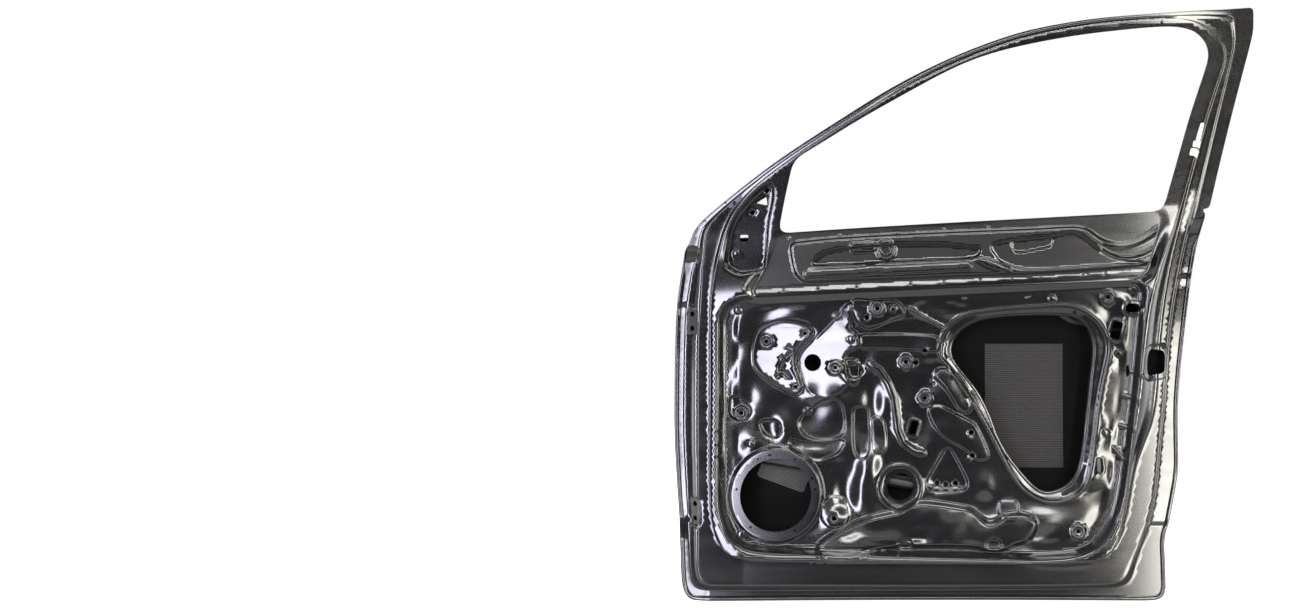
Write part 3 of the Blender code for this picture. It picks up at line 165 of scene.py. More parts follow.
def rounded(loop, reach, steps=4):
    # Each corner becomes a curve that starts at most this reach before it, or halfway where it is shallow
    out = []
    count = len(loop)
    for index in range(count):
        here = np.array(loop[index])
        before = np.array(loop[index - 1]) - here
        after = np.array(loop[(index + 1) % count]) - here
        lengthIn = max(math.hypot(*before), tiny)
        lengthOut = max(math.hypot(*after), tiny)
        cosine = -float(before @ after) / (lengthIn * lengthOut)
        span = 1.0 if cosine > door["shallowTurn"] else reach
        start = here + before * min(span / lengthIn, door["turnStart"])
        end = here + after * min(span / lengthOut, door["turnStart"])
        for step in range(steps + 1):
            t = step / steps
            out.append(tuple(start * (1 - t) ** 2 + here * 2 * t * (1 - t) + end * t ** 2))
    return out


def evenly(loop, spacing, closed=True):
    points = np.array(loop + loop[:1] if closed else loop)
    lengths = np.hypot(*np.diff(points, axis=0).T)
    along = np.concatenate(([0], np.cumsum(lengths)))
    count = max(int(round(along[-1] / spacing)), 8 if closed else 2)
    stations = np.linspace(0, along[-1], count + 1)[:count if closed else count + 1]
    return list(zip(np.interp(stations, along, points[:, 0]).tolist(),
                    np.interp(stations, along, points[:, 1]).tolist()))


def inset(loop, distance):
    # Moves a closed loop inwards, or outwards where the distance is negative
    points = np.array(loop)
    run = np.roll(points, -1, axis=0) - points
    run /= np.maximum(np.hypot(*run.T), tiny)[:, None]
    side = run + np.roll(run, 1, axis=0)
    side = np.column_stack((-side[:, 1], side[:, 0]))
    side /= np.maximum(np.hypot(*side.T), tiny)[:, None]
    normal = np.column_stack((-run[:, 1], run[:, 0]))
    spread = np.maximum((side * normal).sum(axis=1), 0.5)
    turn = 1 if loopArea(loop) > 0 else -1
    return [tuple(point) for point in points + side * (turn * distance / spread)[:, None]]


def smooth(table, reach, spacing):
    # A table's closed line with its corners rounded, as evenly spaced points
    return evenly(rounded(toPlaces(table), reach), spacing)


def onCircle(centre, radius, angles):
    return [(centre[0] + radius * math.cos(a), centre[1] + radius * math.sin(a)) for a in angles]


def circle(centre, radius, spacing=0.0022):
    sides = max(int(2 * math.pi * radius / spacing), 12)
    return onCircle(centre, radius, [2 * math.pi * index / sides for index in range(sides)])


def turned(loop, centre, degrees):
    turn = math.radians(degrees)
    return [(centre[0] + x * math.cos(turn) - z * math.sin(turn),
             centre[1] + x * math.sin(turn) + z * math.cos(turn)) for x, z in loop]


def box(centre, width, height, corner, degrees=0):
    loop = [(width / 2, -height / 2), (width / 2, height / 2), (-width / 2, height / 2),
            (-width / 2, -height / 2)]
    return rounded(turned(loop, centre, degrees), corner)


def slotLoop(centre, length, width):
    return box(centre, length, width, width / 2)


def bead(line, halfWidth, reach=0.010):
    # The outline of a bead with round ends that follows an open line
    points = np.array(evenly(line, halfWidth, closed=False))
    run = np.gradient(points, axis=0)
    run /= np.maximum(np.hypot(*run.T), tiny)[:, None]
    side = np.column_stack((-run[:, 1], run[:, 0])) * halfWidth
    ends = [tuple(points[-1] + run[-1] * halfWidth), tuple(points[0] - run[0] * halfWidth)]
    left = [tuple(point) for point in points + side]
    right = [tuple(point) for point in points - side]
    return rounded(right + ends[:1] + left[::-1] + ends[1:], min(reach, halfWidth))


def edgeDistance(points, loop):
    start = np.array(loop)
    run = np.roll(start, -1, axis=0) - start
    length = np.maximum((run ** 2).sum(axis=1), tiny ** 2)
    best = np.full(len(points), np.inf)
    x, z = points.T
    for (x0, z0), (dx, dz), size in zip(start, run, length):
        share = np.clip(((x - x0) * dx + (z - z0) * dz) / size, 0, 1)
        best = np.minimum(best, (x - x0 - share * dx) ** 2 + (z - z0 - share * dz) ** 2)
    return np.sqrt(best)


def isInside(points, loop):
    x, z = points.T
    inside = np.zeros(len(points), dtype=bool)
    for (x0, z0), (x1, z1) in zip(loop, loop[1:] + loop[:1]):
        if z0 != z1:
            inside ^= ((z0 > z) != (z1 > z)) & (x < (x1 - x0) * (z - z0) / (z1 - z0) + x0)
    return inside


def nearBox(points, loop, reach):
    low = np.min(loop, axis=0) - reach
    high = np.max(loop, axis=0) + reach
    return np.nonzero(np.all((points > low) & (points < high), axis=1))[0]


# How finely sheets are meshed: walls get lines of their own, and grid points keep clear of lines
mesher = {
    "finest": 0.0016, "smallHole": 0.0018, "slot": 0.002, "squareHole": 0.0025, "ring": 0.0022,
    "perRun": 2.2, "footShares": (0.25, 0.5, 0.75), "runShares": (0.33, 0.67), "shortRun": 0.003,
    "bossRun": 0.0035, "dishShare": 0.62, "dishRun": 0.0018, "rowShare": 0.866, "clear": 0.0007,
    "clearShare": 0.5, "weld": 0.00003, "slopeStep": 0.0005}


class Sheet:
    def __init__(self, outline, surface, spacing, cabinSide=True):
        self.outline = outline
        self.surface = surface
        self.spacing = spacing
        self.cabinSide = cabinSide
        self.holes, self.lines, self.loose, self.forms, self.swells = [], [], [], [], []
        self.swellAt = None

    def press(self, top, rule, run, foot=None, reach=0.008, spacing=None, crisp=False):
        # Presses the area inside top to a rule, with a wall out to the foot or over the run
        spacing = spacing or min(self.spacing, max(run / mesher["perRun"], mesher["finest"]))
        top = evenly(rounded(top, reach), spacing)
        if foot:
            foot = evenly(rounded(foot, reach), spacing)
            self.lines.append(foot)
            ends = np.array(foot)
            starts = np.array(top)
            near = np.array([ends[np.argmin(((ends - start) ** 2).sum(axis=1))] for start in starts])
            for share in mesher["footShares"]:
                self.lines.append([tuple(point) for point in starts + (near - starts) * share])
        else:
            self.lines.append(inset(top, -run))
            for share in mesher["runShares"] if run > mesher["shortRun"] else (0.5,):
                self.lines.append(inset(top, -run * share))
        self.lines.append(top)
        self.forms.append((top, foot, run, rule, crisp))

    def lift(self, top, rise, run, tilt=(0, 0), **options):
        # Towards the cabin by a rise; a tilted face leans about the middle of its outline
        x0, z0 = np.mean(top, axis=0)
        self.press(top, lambda x, z, y: y - rise + (x - x0) * tilt[0] + (z - z0) * tilt[1], run, **options)

    def lay(self, top, surface, run, foot=None, **options):
        self.press(top, lambda x, z, y: surface(x, z), run, foot, **options)

    def cut(self, loop):
        self.holes.append(loop)

    def flangedCut(self, loop, width, drop, run):
        self.lift(inset(loop, -width), drop, run, reach=tiny)
        self.cut(loop)

    def ring(self, centre, radius, rise, run):
        self.lift(circle(centre, radius), rise, run, reach=tiny, spacing=mesher["ring"])

    def boss(self, centre, radius, rise, hole, dish):
        self.ring(centre, radius, rise, mesher["bossRun"])
        self.ring(centre, radius * mesher["dishShare"], -dish, mesher["dishRun"])
        self.cut(circle(centre, hole, mesher["finest"]))

    def face(self, points):
        y = np.array(self.surface(*points.T), dtype=float)
        for index, (top, foot, run, rule, crisp) in enumerate(self.forms):
            near = nearBox(points, foot or top, 0 if foot else run)
            spots = points[near]
            inside = isInside(spots, top)
            distance = edgeDistance(spots, top)
            if foot:
                far = edgeDistance(spots, foot)
                weight = np.where(isInside(spots, foot), far / np.maximum(far + distance, tiny), 0)
            else:
                weight = np.clip(1 - distance / run, 0, 1)
            weight = np.where(inside, 1, weight)
            if not crisp:
                weight = weight * weight * (3 - 2 * weight)
            y[near] += weight * (rule(spots[:, 0], spots[:, 1], y[near]) - y[near])
            if index == self.swellAt:
                # Soft round swellings, and hollows where the rise is negative
                for (x0, z0), width, height, rise in self.swells:
                    far = ((points[:, 0] - x0) / width) ** 2 + ((points[:, 1] - z0) / height) ** 2
                    y = y - rise * np.clip(1 - far / 4, 0, 1) ** 3
        return y

    def slopes(self, points):
        step = mesher["slopeStep"]
        sx = np.array((step, 0))
        sz = np.array((0, step))
        alongX = (self.face(points + sx) - self.face(points - sx)) / (2 * step)
        alongZ = (self.face(points + sz) - self.face(points - sz)) / (2 * step)
        normals = np.column_stack((alongX, -np.ones(len(points)), alongZ))
        return normals / np.linalg.norm(normals, axis=1)[:, None]

    def isSheet(self, points):
        keep = isInside(points, self.outline)
        for hole in self.holes:
            near = nearBox(points, hole, 0)
            keep[near] &= ~isInside(points[near], hole)
        return keep

    def clearance(self, isLoose):
        return mesher["clear"] if isLoose else self.spacing * mesher["clearShare"]

    def pointTree(self, numbered, size):
        tree = KDTree(size)
        for index, (x, z) in numbered:
            tree.insert((x, 0, z), index)
        tree.balance()
        return tree

    def flatMesh(self):
        # Points on the outline, holes and form lines, with loose points and a staggered grid between them
        points = []
        edges = []
        for loop in [self.outline] + self.holes + self.lines:
            first = len(points)
            points += loop
            edges += [(first + i, first + (i + 1) % len(loop)) for i in range(len(loop))]
        low = np.min(self.outline, axis=0)
        high = np.max(self.outline, axis=0)
        free = list(self.loose)
        looseCount = len(free)
        share = mesher["rowShare"]
        for row in range(int((high[1] - low[1]) / (self.spacing * share)) + 1):
            xs = np.arange(low[0] + (row % 2) * self.spacing / 2, high[0], self.spacing)
            free += [(x, low[1] + row * self.spacing * share) for x in xs]
        free = np.array(free)
        tree = self.pointTree(enumerate(points), len(points))
        kept = []
        for index in np.nonzero(self.isSheet(free))[0]:
            x, z = free[index]
            isLoose = index < looseCount
            if tree.find((x, 0, z))[2] > self.clearance(isLoose):
                kept.append((x, z, isLoose))
        looseTree = self.pointTree([(i, (x, z)) for i, (x, z, isLoose) in enumerate(kept) if isLoose],
                                   max(looseCount, 1))
        for index, (x, z, isLoose) in enumerate(kept):
            found = looseTree.find_range((x, 0, z), self.clearance(isLoose))
            if not (isLoose and any(hit[1] < index for hit in found) or not isLoose and found):
                points.append((x, z))
        flatPoints = [Vector(point) for point in points]
        verts, _, faces, _, _, _ = delaunay_2d_cdt(flatPoints, edges, [], 0, mesher["weld"])
        flat = np.array([tuple(vert) for vert in verts])
        faces = np.array([tuple(face) for face in faces if len(face) == 3])
        faces = faces[self.isSheet(flat[faces].mean(axis=1))]
        used = np.unique(faces)
        renumber = np.full(len(flat), -1)
        renumber[used] = np.arange(len(used))
        return flat[used], renumber[faces]


def rimEdges(faces):
    # Directed edges that only one face uses
    pairs = np.vstack((faces[:, [0, 1]], faces[:, [1, 2]], faces[:, [2, 0]]))
    both = np.sort(pairs, axis=1)
    _, first, counts = np.unique(both, axis=0, return_index=True, return_counts=True)
    return pairs[first[counts == 1]]


def addPiece(name, verts, faces, given, materials, slot, replaced):
    # One mesh with a normal for each face corner; corners past the given ones keep their own
    mesh = bpy.data.meshes.new(name)
    mesh.from_pydata([tuple(vert) for vert in verts + np.array(door["origin"])], [], faces)
    mesh.polygons.foreach_set("use_smooth", [True] * len(faces))
    mesh.update()
    normals = np.empty(len(mesh.loops) * 3)
    mesh.corner_normals.foreach_get("vector", normals)
    normals = normals.reshape(-1, 3)
    normals[:len(given)] = given
    mesh.normals_split_custom_set(normals.tolist())
    piece = bpy.data.objects.new(name, mesh)
    bpy.context.scene.collection.objects.link(piece)
    for material in materials:
        mesh.materials.append(material)
    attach(piece, "root")
    if slot:
        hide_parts(replaced)
    print("piece", name, len(faces), "faces")
    return mesh


def bothSides(sheet, thickness):
    # The two faces of a sheet, with a normal for each face corner, and its rim
    flat, faces = sheet.flatMesh()
    side = 1 if sheet.cabinSide else -1
    normals = sheet.slopes(flat) * side
    front = np.column_stack((flat[:, 0], sheet.face(flat), flat[:, 1]))
    frontFaces = faces if side > 0 else faces[:, ::-1]
    backFaces = frontFaces[:, ::-1]
    corners = np.vstack((normals[frontFaces.ravel()], -normals[backFaces.ravel()]))
    allFaces = frontFaces.tolist() + (backFaces + len(front)).tolist()
    return flat, front, front - normals * thickness, allFaces, corners, rimEdges(frontFaces)


def rimWalls(front, back, rim):
    # Walls across the thickness, with their corners' normals
    count = len(front)
    a, b = front[rim[:, 0]], front[rim[:, 1]]
    across = np.cross(a - b, back[rim[:, 0]] - b)
    across /= np.maximum(np.linalg.norm(across, axis=1), tiny)[:, None]
    return [(b, a, a + count, b + count) for a, b in rim.tolist()], np.repeat(across, 4, axis=0)


def sheetPiece(name, sheet, replaced, thickness=door["sheet"], slot="dip_coat", material=None):
    _, front, back, faces, corners, rim = bothSides(sheet, thickness)
    walls, across = rimWalls(front, back, rim)
    addPiece(name, np.vstack((front, back)), faces + walls, np.vstack((corners, across)),
             [material or coatMaterial], slot, replaced)


# Materials
def setInputs(tree, node, values):
    # A value that is another node's output is linked, any other is set on the socket
    for name, value in values.items():
        if isinstance(value, bpy.types.NodeSocket):
            tree.links.new(value, node.inputs[name])
        else:
            node.inputs[name].default_value = value


def addNode(tree, kind, values):
    node = tree.nodes.new("ShaderNode" + kind)
    setInputs(tree, node, values)
    return node.outputs


def newMaterial(name):
    material = bpy.data.materials.new(name)
    material.use_nodes = True
    tree = material.node_tree
    return material, tree, tree.nodes["Principled BSDF"], addNode(tree, "TexCoord", {})["Object"]


def addNoise(tree, where, scale, detail=3.0, roughness=0.5):
    return addNode(tree, "TexNoise", {"Scale": scale, "Detail": detail, "Roughness": roughness,
                                      "Vector": where})["Fac"]


def spread(tree, source, low, high, fromLow=0.3, fromHigh=0.7):
    return addNode(tree, "MapRange", {"Value": source, "From Min": fromLow, "From Max": fromHigh,
                                      "To Min": low, "To Max": high})["Result"]


def combine(tree, operation, *values):
    node = tree.nodes.new("ShaderNodeMath")
    node.operation = operation
    setInputs(tree, node, dict(enumerate(values)))
    return node.outputs["Value"]


def blend(tree, kind, factor, first, second):
    node = tree.nodes.new("ShaderNodeMix")
    node.data_type = kind
    setInputs(tree, node, {"Factor": factor, "A": first, "B": second})
    return node.outputs["Result"]


def addBump(tree, source, strength, distance, below=None):
    values = {"Strength": strength, "Distance": distance, "Height": source}
    if below:
        values["Normal"] = below
    return addNode(tree, "Bump", values)["Normal"]


coat = {"dark": (0.006, 0.006, 0.007, 1), "light": (0.015, 0.014, 0.015, 1), "roughness": (0.12, 0.19),
        "specular": 0.80, "film": 1.0, "filmRoughness": 0.12, "cloudScale": 6.0, "streakScale": 5.0,
        "streakStretch": (1.0, 1.0, 7.0), "peelScale": 150.0, "peel": 0.0015, "peelDepth": 0.0001,
        "waveScale": 9.0, "wave": 0.2, "waveDepth": 0.0006}


def dipCoat(name, changes):
    # Baked black dip coat: a semi-gloss film with orange peel over faintly wavy sheet
    look = {**coat, **changes}
    material, tree, shader, where = newMaterial(name)
    cloud = addNoise(tree, where, look["cloudScale"])
    along = addNode(tree, "Mapping", {"Scale": look["streakStretch"], "Vector": where})["Vector"]
    streak = addNoise(tree, along, look["streakScale"])
    peel = addNoise(tree, where, look["peelScale"], 1.0)
    wave = addNoise(tree, where, look["waveScale"], 1.0)
    bump = addBump(tree, wave, look["wave"], look["waveDepth"])
    setInputs(tree, shader, {
        "Base Color": blend(tree, "RGBA", cloud, look["dark"], look["light"]),
        "Roughness": spread(tree, streak, *look["roughness"]), "Specular IOR Level": look["specular"],
        "Coat Weight": look["film"], "Coat Roughness": look["filmRoughness"],
        "Normal": addBump(tree, peel, look["peel"], look["peelDepth"], bump)})
    return material


pad = {"dark": (0.008, 0.008, 0.009, 1), "light": (0.098, 0.095, 0.092), "rows": 67.5, "roughness": 0.72,
       "distortion": 1.6, "detail": 3.0, "detailScale": 9.0, "grain": (420.0, 4.0, 0.7), "grainShare": 0.55,
       "specular": 0.2, "bump": 0.9, "bumpDepth": 0.0012}


def dampingPad(name, degrees, paintedShading):
    # Bitumen pad with fine pressed rows, broken by noise; its light colour is multiplied by a factor, painted
    # light where a pad is made brighter
    material, tree, shader, where = newMaterial(name)
    along = addNode(tree, "Mapping", {"Rotation": (0, math.radians(-degrees), 0), "Vector": where})["Vector"]
    rows = tree.nodes.new("ShaderNodeTexWave")
    rows.bands_direction = "Z"
    setInputs(tree, rows, {"Scale": pad["rows"], "Distortion": pad["distortion"], "Detail": pad["detail"],
                           "Detail Scale": pad["detailScale"], "Vector": along})
    grain = addNoise(tree, where, *pad["grain"])
    spots = blend(tree, "FLOAT", pad["grainShare"], rows.outputs["Fac"], grain)
    light = tuple(value * paintedShading for value in pad["light"]) + (1,)
    setInputs(tree, shader, {
        "Base Color": blend(tree, "RGBA", spots, pad["dark"], light), "Roughness": pad["roughness"],
        "Specular IOR Level": pad["specular"], "Normal": addBump(tree, spots, pad["bump"], pad["bumpDepth"])})
    return material


plain = {"detail": 4.0, "smoothest": 0.8, "roughest": 1.15, "bump": 0.5}


def plainFinish(name, dark, light, roughness, scale, bumpDepth, metallic=0.0):
    material, tree, shader, where = newMaterial(name)
    cloud = addNoise(tree, where, scale, plain["detail"])
    setInputs(tree, shader, {
        "Base Color": blend(tree, "RGBA", cloud, (*dark, 1), (*light, 1)), "Metallic": metallic,
        "Roughness": spread(tree, cloud, roughness * plain["smoothest"], roughness * plain["roughest"]),
        "Normal": addBump(tree, cloud, plain["bump"], bumpDepth)})
    return material


coatMaterial = dipCoat("dipCoat", {})
braceMaterial = dipCoat("braceCoat", {"light": (0.034, 0.033, 0.034, 1), "roughness": (0.26, 0.38)})
# The skin's inside face: the same dip coat made darker and almost without reflection, as painted shade inside
# the door
paintedShadeInsideMaterial = dipCoat("paintedShadeInsideCoat", {"dark": (0.003, 0.003, 0.003, 1), "light": (0.006, 0.006, 0.006, 1),
                                        "roughness": (0.42, 0.55), "specular": 0.06, "film": 0.0})
nutMaterial = plainFinish("nutSteel", (0.030, 0.030, 0.032), (0.075, 0.074, 0.072), 0.34, 260.0, 0.0003, 0.6)
masticMaterial = plainFinish("mastic", (0.030, 0.029, 0.026), (0.080, 0.077, 0.068), 0.70, 180.0, 0.0015)
labelMaterial = plainFinish("labelPaper", (0.80, 0.80, 0.79), (0.88, 0.88, 0.87), 0.55, 320.0, 0.0002)
print("materials done")

# Camera, from the door frame's camera place
cameraData = bpy.data.cameras.new("camera")
cameraData.lens = view["focal"] / view["width"] * view["sensor"]
cameraData.sensor_width = view["sensor"]
cameraData.shift_x = -(view["column"] / view["width"] - 0.5)
camera = bpy.data.objects.new("camera", cameraData)
camera.location = Vector((view["x"], view["y"], view["z"])) + Vector(door["origin"])
camera.rotation_euler = (math.radians(90), 0, 0)
bpy.context.scene.collection.objects.link(camera)
bpy.context.scene.camera = camera
bpy.context.scene.view_settings.view_transform = "Standard"

# Floor, world and lamps
studio = {
    "floorSides": (-7.0, 8.0), "floorDepths": (-1.25, 8.0), "floorColour": (0.86, 0.86, 0.86, 1),
    # floorPaintedShade is the painted shadow colour that glossy rays see on the floor near the door
    "floorLight": (0.90, 0.90, 0.90, 1), "floorPaintedShade": (0.05, 0.05, 0.05, 1), "floorScale": 3.0,
    "floorRoughness": 0.8, "floorLift": 0.80, "floorGlow": 0.5, "floorFade": (0.20, 1.60),
    "worldDiffuse": 0.24, "flagDark": 0.022, "flagEdge": (0.12, 0.76), "sideShare": 0.42,
    "sideEdge": (0.0, 0.75),
    "lamps": (
        # name, place, aim, width, height, power, colour
        ("leftStrip", (-0.94, -3.60, 0.15), (0.20, 0, 0.0), 0.48, 2.30, 46.0, (0.84, 0.82, 1.0)),
        ("landStrip", (1.64, -3.50, 0.32), (1.00, 0, 0.0), 0.30, 1.96, 24.0, (1.0, 0.98, 0.89)),
        ("ledgeStrip", (0.55, -3.60, 1.08), (0.50, 0, 0.1), 2.10, 0.28, 20.0, (1.0, 0.99, 0.97)),
        ("beltGlow", (0.55, -3.62, 0.40), (0.50, 0, 0.1), 2.10, 0.30, 1.0, (1.0, 0.99, 0.96)),
        ("rightStrip", (2.35, -2.70, 0.45), (0.70, 0, 0.0), 0.30, 1.90, 18.0, (1.0, 0.97, 0.84)),
        ("overhead", (0.50, -0.55, 2.35), (0.50, -0.25, 0.1), 2.20, 1.10, 36.0, (1.0, 0.99, 0.96)),
        ("edgeLeft", (-2.00, -0.55, 0.05), (0.40, 0, -0.1), 0.30, 1.90, 34.0, (0.92, 0.90, 1.0)),
        ("edgeRight", (3.00, -0.60, 0.05), (0.60, 0, -0.1), 0.34, 2.00, 30.0, (1.0, 0.98, 0.90)),
        ("behindLeft", (-1.50, 2.20, 0.80), (0.50, 0, 0.0), 0.50, 2.20, 30.0, (1.0, 0.99, 0.97)),
        ("behindTop", (0.60, 1.80, 2.20), (0.50, 0, 0.1), 1.80, 0.50, 34.0, (1.0, 1.0, 1.0)))}


def addLamp(name, place, aim, width, height, power, colour):
    data = bpy.data.lights.new(name, "AREA")
    data.shape = "RECTANGLE"
    data.size = width
    data.size_y = height
    data.energy = power
    data.color = colour
    lamp = bpy.data.objects.new(name, data)
    lamp.location = place
    lamp.rotation_euler = (Vector(aim) - Vector(place)).to_track_quat("-Z", "Y").to_euler()
    bpy.context.scene.collection.objects.link(lamp)


for lamp in studio["lamps"]:
    addLamp(*lamp)


def makeWorld():
    # White where the camera, gloss or glass sees it, with dark flags before and behind the door
    world = bpy.data.worlds.new("studio")
    bpy.context.scene.world = world
    world.use_nodes = True
    tree = world.node_tree
    path = addNode(tree, "LightPath", {})
    away = addNode(tree, "SeparateXYZ", {"Vector": addNode(tree, "TexCoord", {})["Generated"]})
    flags = spread(tree, combine(tree, "ABSOLUTE", away["Y"]), 1.0, studio["flagDark"], *studio["flagEdge"])
    above = spread(tree, away["Z"], studio["sideShare"], 1.0, *studio["sideEdge"])
    gloss = combine(tree, "MAXIMUM", path["Is Glossy Ray"], path["Is Transmission Ray"])
    seen = blend(tree, "FLOAT", gloss, studio["worldDiffuse"], combine(tree, "MULTIPLY", flags, above))
    setInputs(tree, tree.nodes["Background"], {
        "Color": (1, 1, 1, 1), "Strength": combine(tree, "MAXIMUM", seen, path["Is Camera Ray"])})


def makeFloor():
    # White paper that glows for the camera; near the door glossy rays see it darker and with less glow, a
    # painted shadow
    left, right = studio["floorSides"]
    front, back = studio["floorDepths"]
    low = float(cadBox[0][2])
    mesh = bpy.data.meshes.new("floor")
    mesh.from_pydata([(left, front, low), (right, front, low), (right, back, low), (left, back, low)],
                     [], [(0, 1, 2, 3)])
    floor = bpy.data.objects.new("floor", mesh)
    bpy.context.scene.collection.objects.link(floor)
    material, tree, shader, where = newMaterial("floorPaper")
    cloud = addNoise(tree, where, studio["floorScale"])
    paper = blend(tree, "RGBA", cloud, studio["floorColour"], studio["floorLight"])
    depth = addNode(tree, "SeparateXYZ", {"Vector": where})["Y"]
    # Painted shadow: glossy rays near the door see the floor's colour darkened and its glow lowered
    away = spread(tree, depth, 0.0, 1.0, *studio["floorFade"])
    near = spread(tree, depth, 1.0, 0.0, *studio["floorFade"])
    path = addNode(tree, "LightPath", {})
    paintedShading = combine(tree, "MULTIPLY", path["Is Glossy Ray"], near)
    seen = studio["floorGlow"]
    for ray, share in (("Is Camera Ray", studio["floorLift"]), ("Is Glossy Ray", away),
                       ("Is Transmission Ray", studio["floorLift"])):
        seen = combine(tree, "MAXIMUM", combine(tree, "MULTIPLY", path[ray], share), seen)
    setInputs(tree, shader, {
        "Base Color": blend(tree, "RGBA", paintedShading, paper, studio["floorPaintedShade"]),
        "Roughness": studio["floorRoughness"], "Emission Color": (1, 1, 1, 1), "Emission Strength": seen})
    mesh.materials.append(material)


makeWorld()
makeFloor()
print("studio done")

# The skin, with its edge rolled over the inner panel's flange
skin = {
    "edge": ((66, 623), (37, 620), (25, 607), (19, 580), (16.2, 568), (11, 538), (5, 500), (1, 420), (0, 326),
        (2, 261), (8, 195), (15.3, 129), (20, 100), (25, 40), (30, 18), (40, 4), (56, 0), (200, 0), (350, 0),
        (500, 0), (650, 0), (780, 0), (848, 0), (862, 5), (869, 17), (870, 60), (870, 104), (881, 130),
        (884, 142), (893, 175), (903, 216), (903, 270), (903, 328), (908, 390), (915, 460), (924, 554),
        (930, 600), (933.5, 619.5), (936, 630), (938, 640), (945, 672), (820, 665), (680, 657.2),
        (540, 649.4), (400, 641.6), (260, 633.8), (140, 627.1)),
    "spacing": 0.0065, "edgeSpacing": 0.0045, "edgeReach": 0.012,
    "handle": ((689, 506.5), (697, 493.5), (712, 485), (745, 476.5), (775, 470), (815, 469), (845, 474.5),
        (866, 487), (885, 497), (893, 512), (888, 523), (865, 530), (820, 533), (760, 530), (715, 523),
        (693, 515)),
    "handleDepth": 0.014, "handleRun": 0.007, "handleReach": 0.02, "formSpacing": 0.003,
    "handleHoles": ((866, 511), (741, 501)), "holeWidth": 0.024, "holeHeight": 0.020,
    "holeCorner": 0.004,
    "clips": ((776, 93), (803, 64), (601, 89), (421, 89), (246, 81), (197, 64), (147, 62), (87, 62)),
    "clipRadius": 0.005,
    "arches": ((687, 64), (514, 63), (330, 60)),
    "archRadius": 0.034, "archHalf": 0.004, "archRise": 0.003, "archSteps": 24,
    "slots": ((785, 33), (447, 29), (127, 28)),
    "slotLength": 0.020, "slotWidth": 0.005,
    "frameMargin": 0.004, "frameCorner": 0.005, "frameRise": 0.0015, "frameRun": 0.002,
    # lines of loose points: first place, last share, count, and how far above each crease they run
    "stations": (0.001, 0.94, 160),
    "creases": (("shoulder", (-0.012, -0.006, 0, 0.006, 0.012, 0.022)), ("crease", (-0.003, 0, 0.003)),
        ("lower", (0.002, -0.002, -0.007, -0.012, -0.016))),
    "roll": 0.0018, "shelf": 0.012, "shelfLip": 0.008, "hemReturn": 0.010, "sideReturn": 0.003,
    # points on the round of the rolled edge: how far in and how deep, outside and inside
    "rollPoints": ((0.0009, 0.0003), (0.0002, 0.0010)), "rollInside": (0.0010, 0.0006), "rollStep": 0.001,
    "hemFade": 0.060, "shelfFade": 0.050, "evened": 6, "sideGap": 0.0008, "onEdge": 1e-5}


def skinLoop():
    return smooth(skin["edge"], skin["edgeReach"], skin["edgeSpacing"])


def pressSkin(outline):
    sheet = Sheet(inset(outline, skin["roll"]), skinY, skin["spacing"], cabinSide=False)
    start, end, count = skin["stations"]
    for table, offsets in skin["creases"]:
        for offset in offsets:
            sheet.loose += [(x, float(lineHeight(x, door[table])) + offset)
                            for x in np.linspace(start, door["length"] * end, count)]
    run = skin["handleRun"]
    spacing = skin["formSpacing"]
    sheet.lift(inset(smooth(skin["handle"], skin["handleReach"], spacing), run), skin["handleDepth"], run,
               spacing=spacing)
    width, height, margin = skin["holeWidth"], skin["holeHeight"], skin["frameMargin"]
    for centre in toPlaces(skin["handleHoles"]):
        sheet.lift(box(centre, width + margin, height + margin, skin["frameCorner"]), skin["frameRise"],
                   skin["frameRun"])
        sheet.cut(evenly(box(centre, width, height, skin["holeCorner"]), mesher["squareHole"]))
    for centre in toPlaces(skin["clips"]):
        sheet.cut(circle(centre, skin["clipRadius"], mesher["smallHole"]))
    for centre in toPlaces(skin["slots"]):
        sheet.cut(evenly(slotLoop(centre, skin["slotLength"], skin["slotWidth"]), mesher["slot"]))
    steps = skin["archSteps"]
    for centre in toPlaces(skin["arches"]):
        line = onCircle(centre, skin["archRadius"], [math.pi * step / steps for step in range(steps + 1)])
        sheet.lift(bead(line, skin["archHalf"] / 2), skin["archRise"], skin["archHalf"], spacing=spacing)
    return sheet


def hemRows(outline):
    # Sections of the rolled edge, as rows of how far in and how deep they lie
    edge = np.array(outline)
    over = aboveBelt(*edge.T)
    t, roll = door["skin"], skin["roll"]
    hem = 2 * t + door["sheet"] + 2 * door["gap"]
    depth = hem + (skin["shelf"] - hem) * ramp(over, -skin["shelfFade"], 0)
    upper = np.where(over > -skin["sideGap"], skin["shelfLip"], skin["sideReturn"])
    reach = np.where(over < -skin["hemFade"], skin["hemReturn"], upper)
    for _ in range(skin["evened"]):
        reach = (np.roll(reach, 1) + reach + np.roll(reach, -1)) / 3
    inward = np.array(inset(outline, skin["rollStep"])) - edge
    inward /= np.maximum(np.hypot(*inward.T), tiny)[:, None]
    base = skinY(*edge.T)
    rows = []
    (far, high), (near, low) = skin["rollPoints"]
    inside, lip = skin["rollInside"]
    for offset, down in ((far, high), (near, low), (0.0, roll), (0.0, depth - roll), (near, depth - low),
                         (far, depth - high), (roll, depth), (reach, depth), (reach, depth - t),
                         (roll, depth - t), (inside, depth - t - lip), (inside, t + lip)):
        spots = edge + inward * np.broadcast_to(offset, len(edge))[:, None]
        level = skinY(*spots.T) if offset is reach else base
        rows.append(np.column_stack((spots[:, 0], level - down, spots[:, 1])))
    return rows


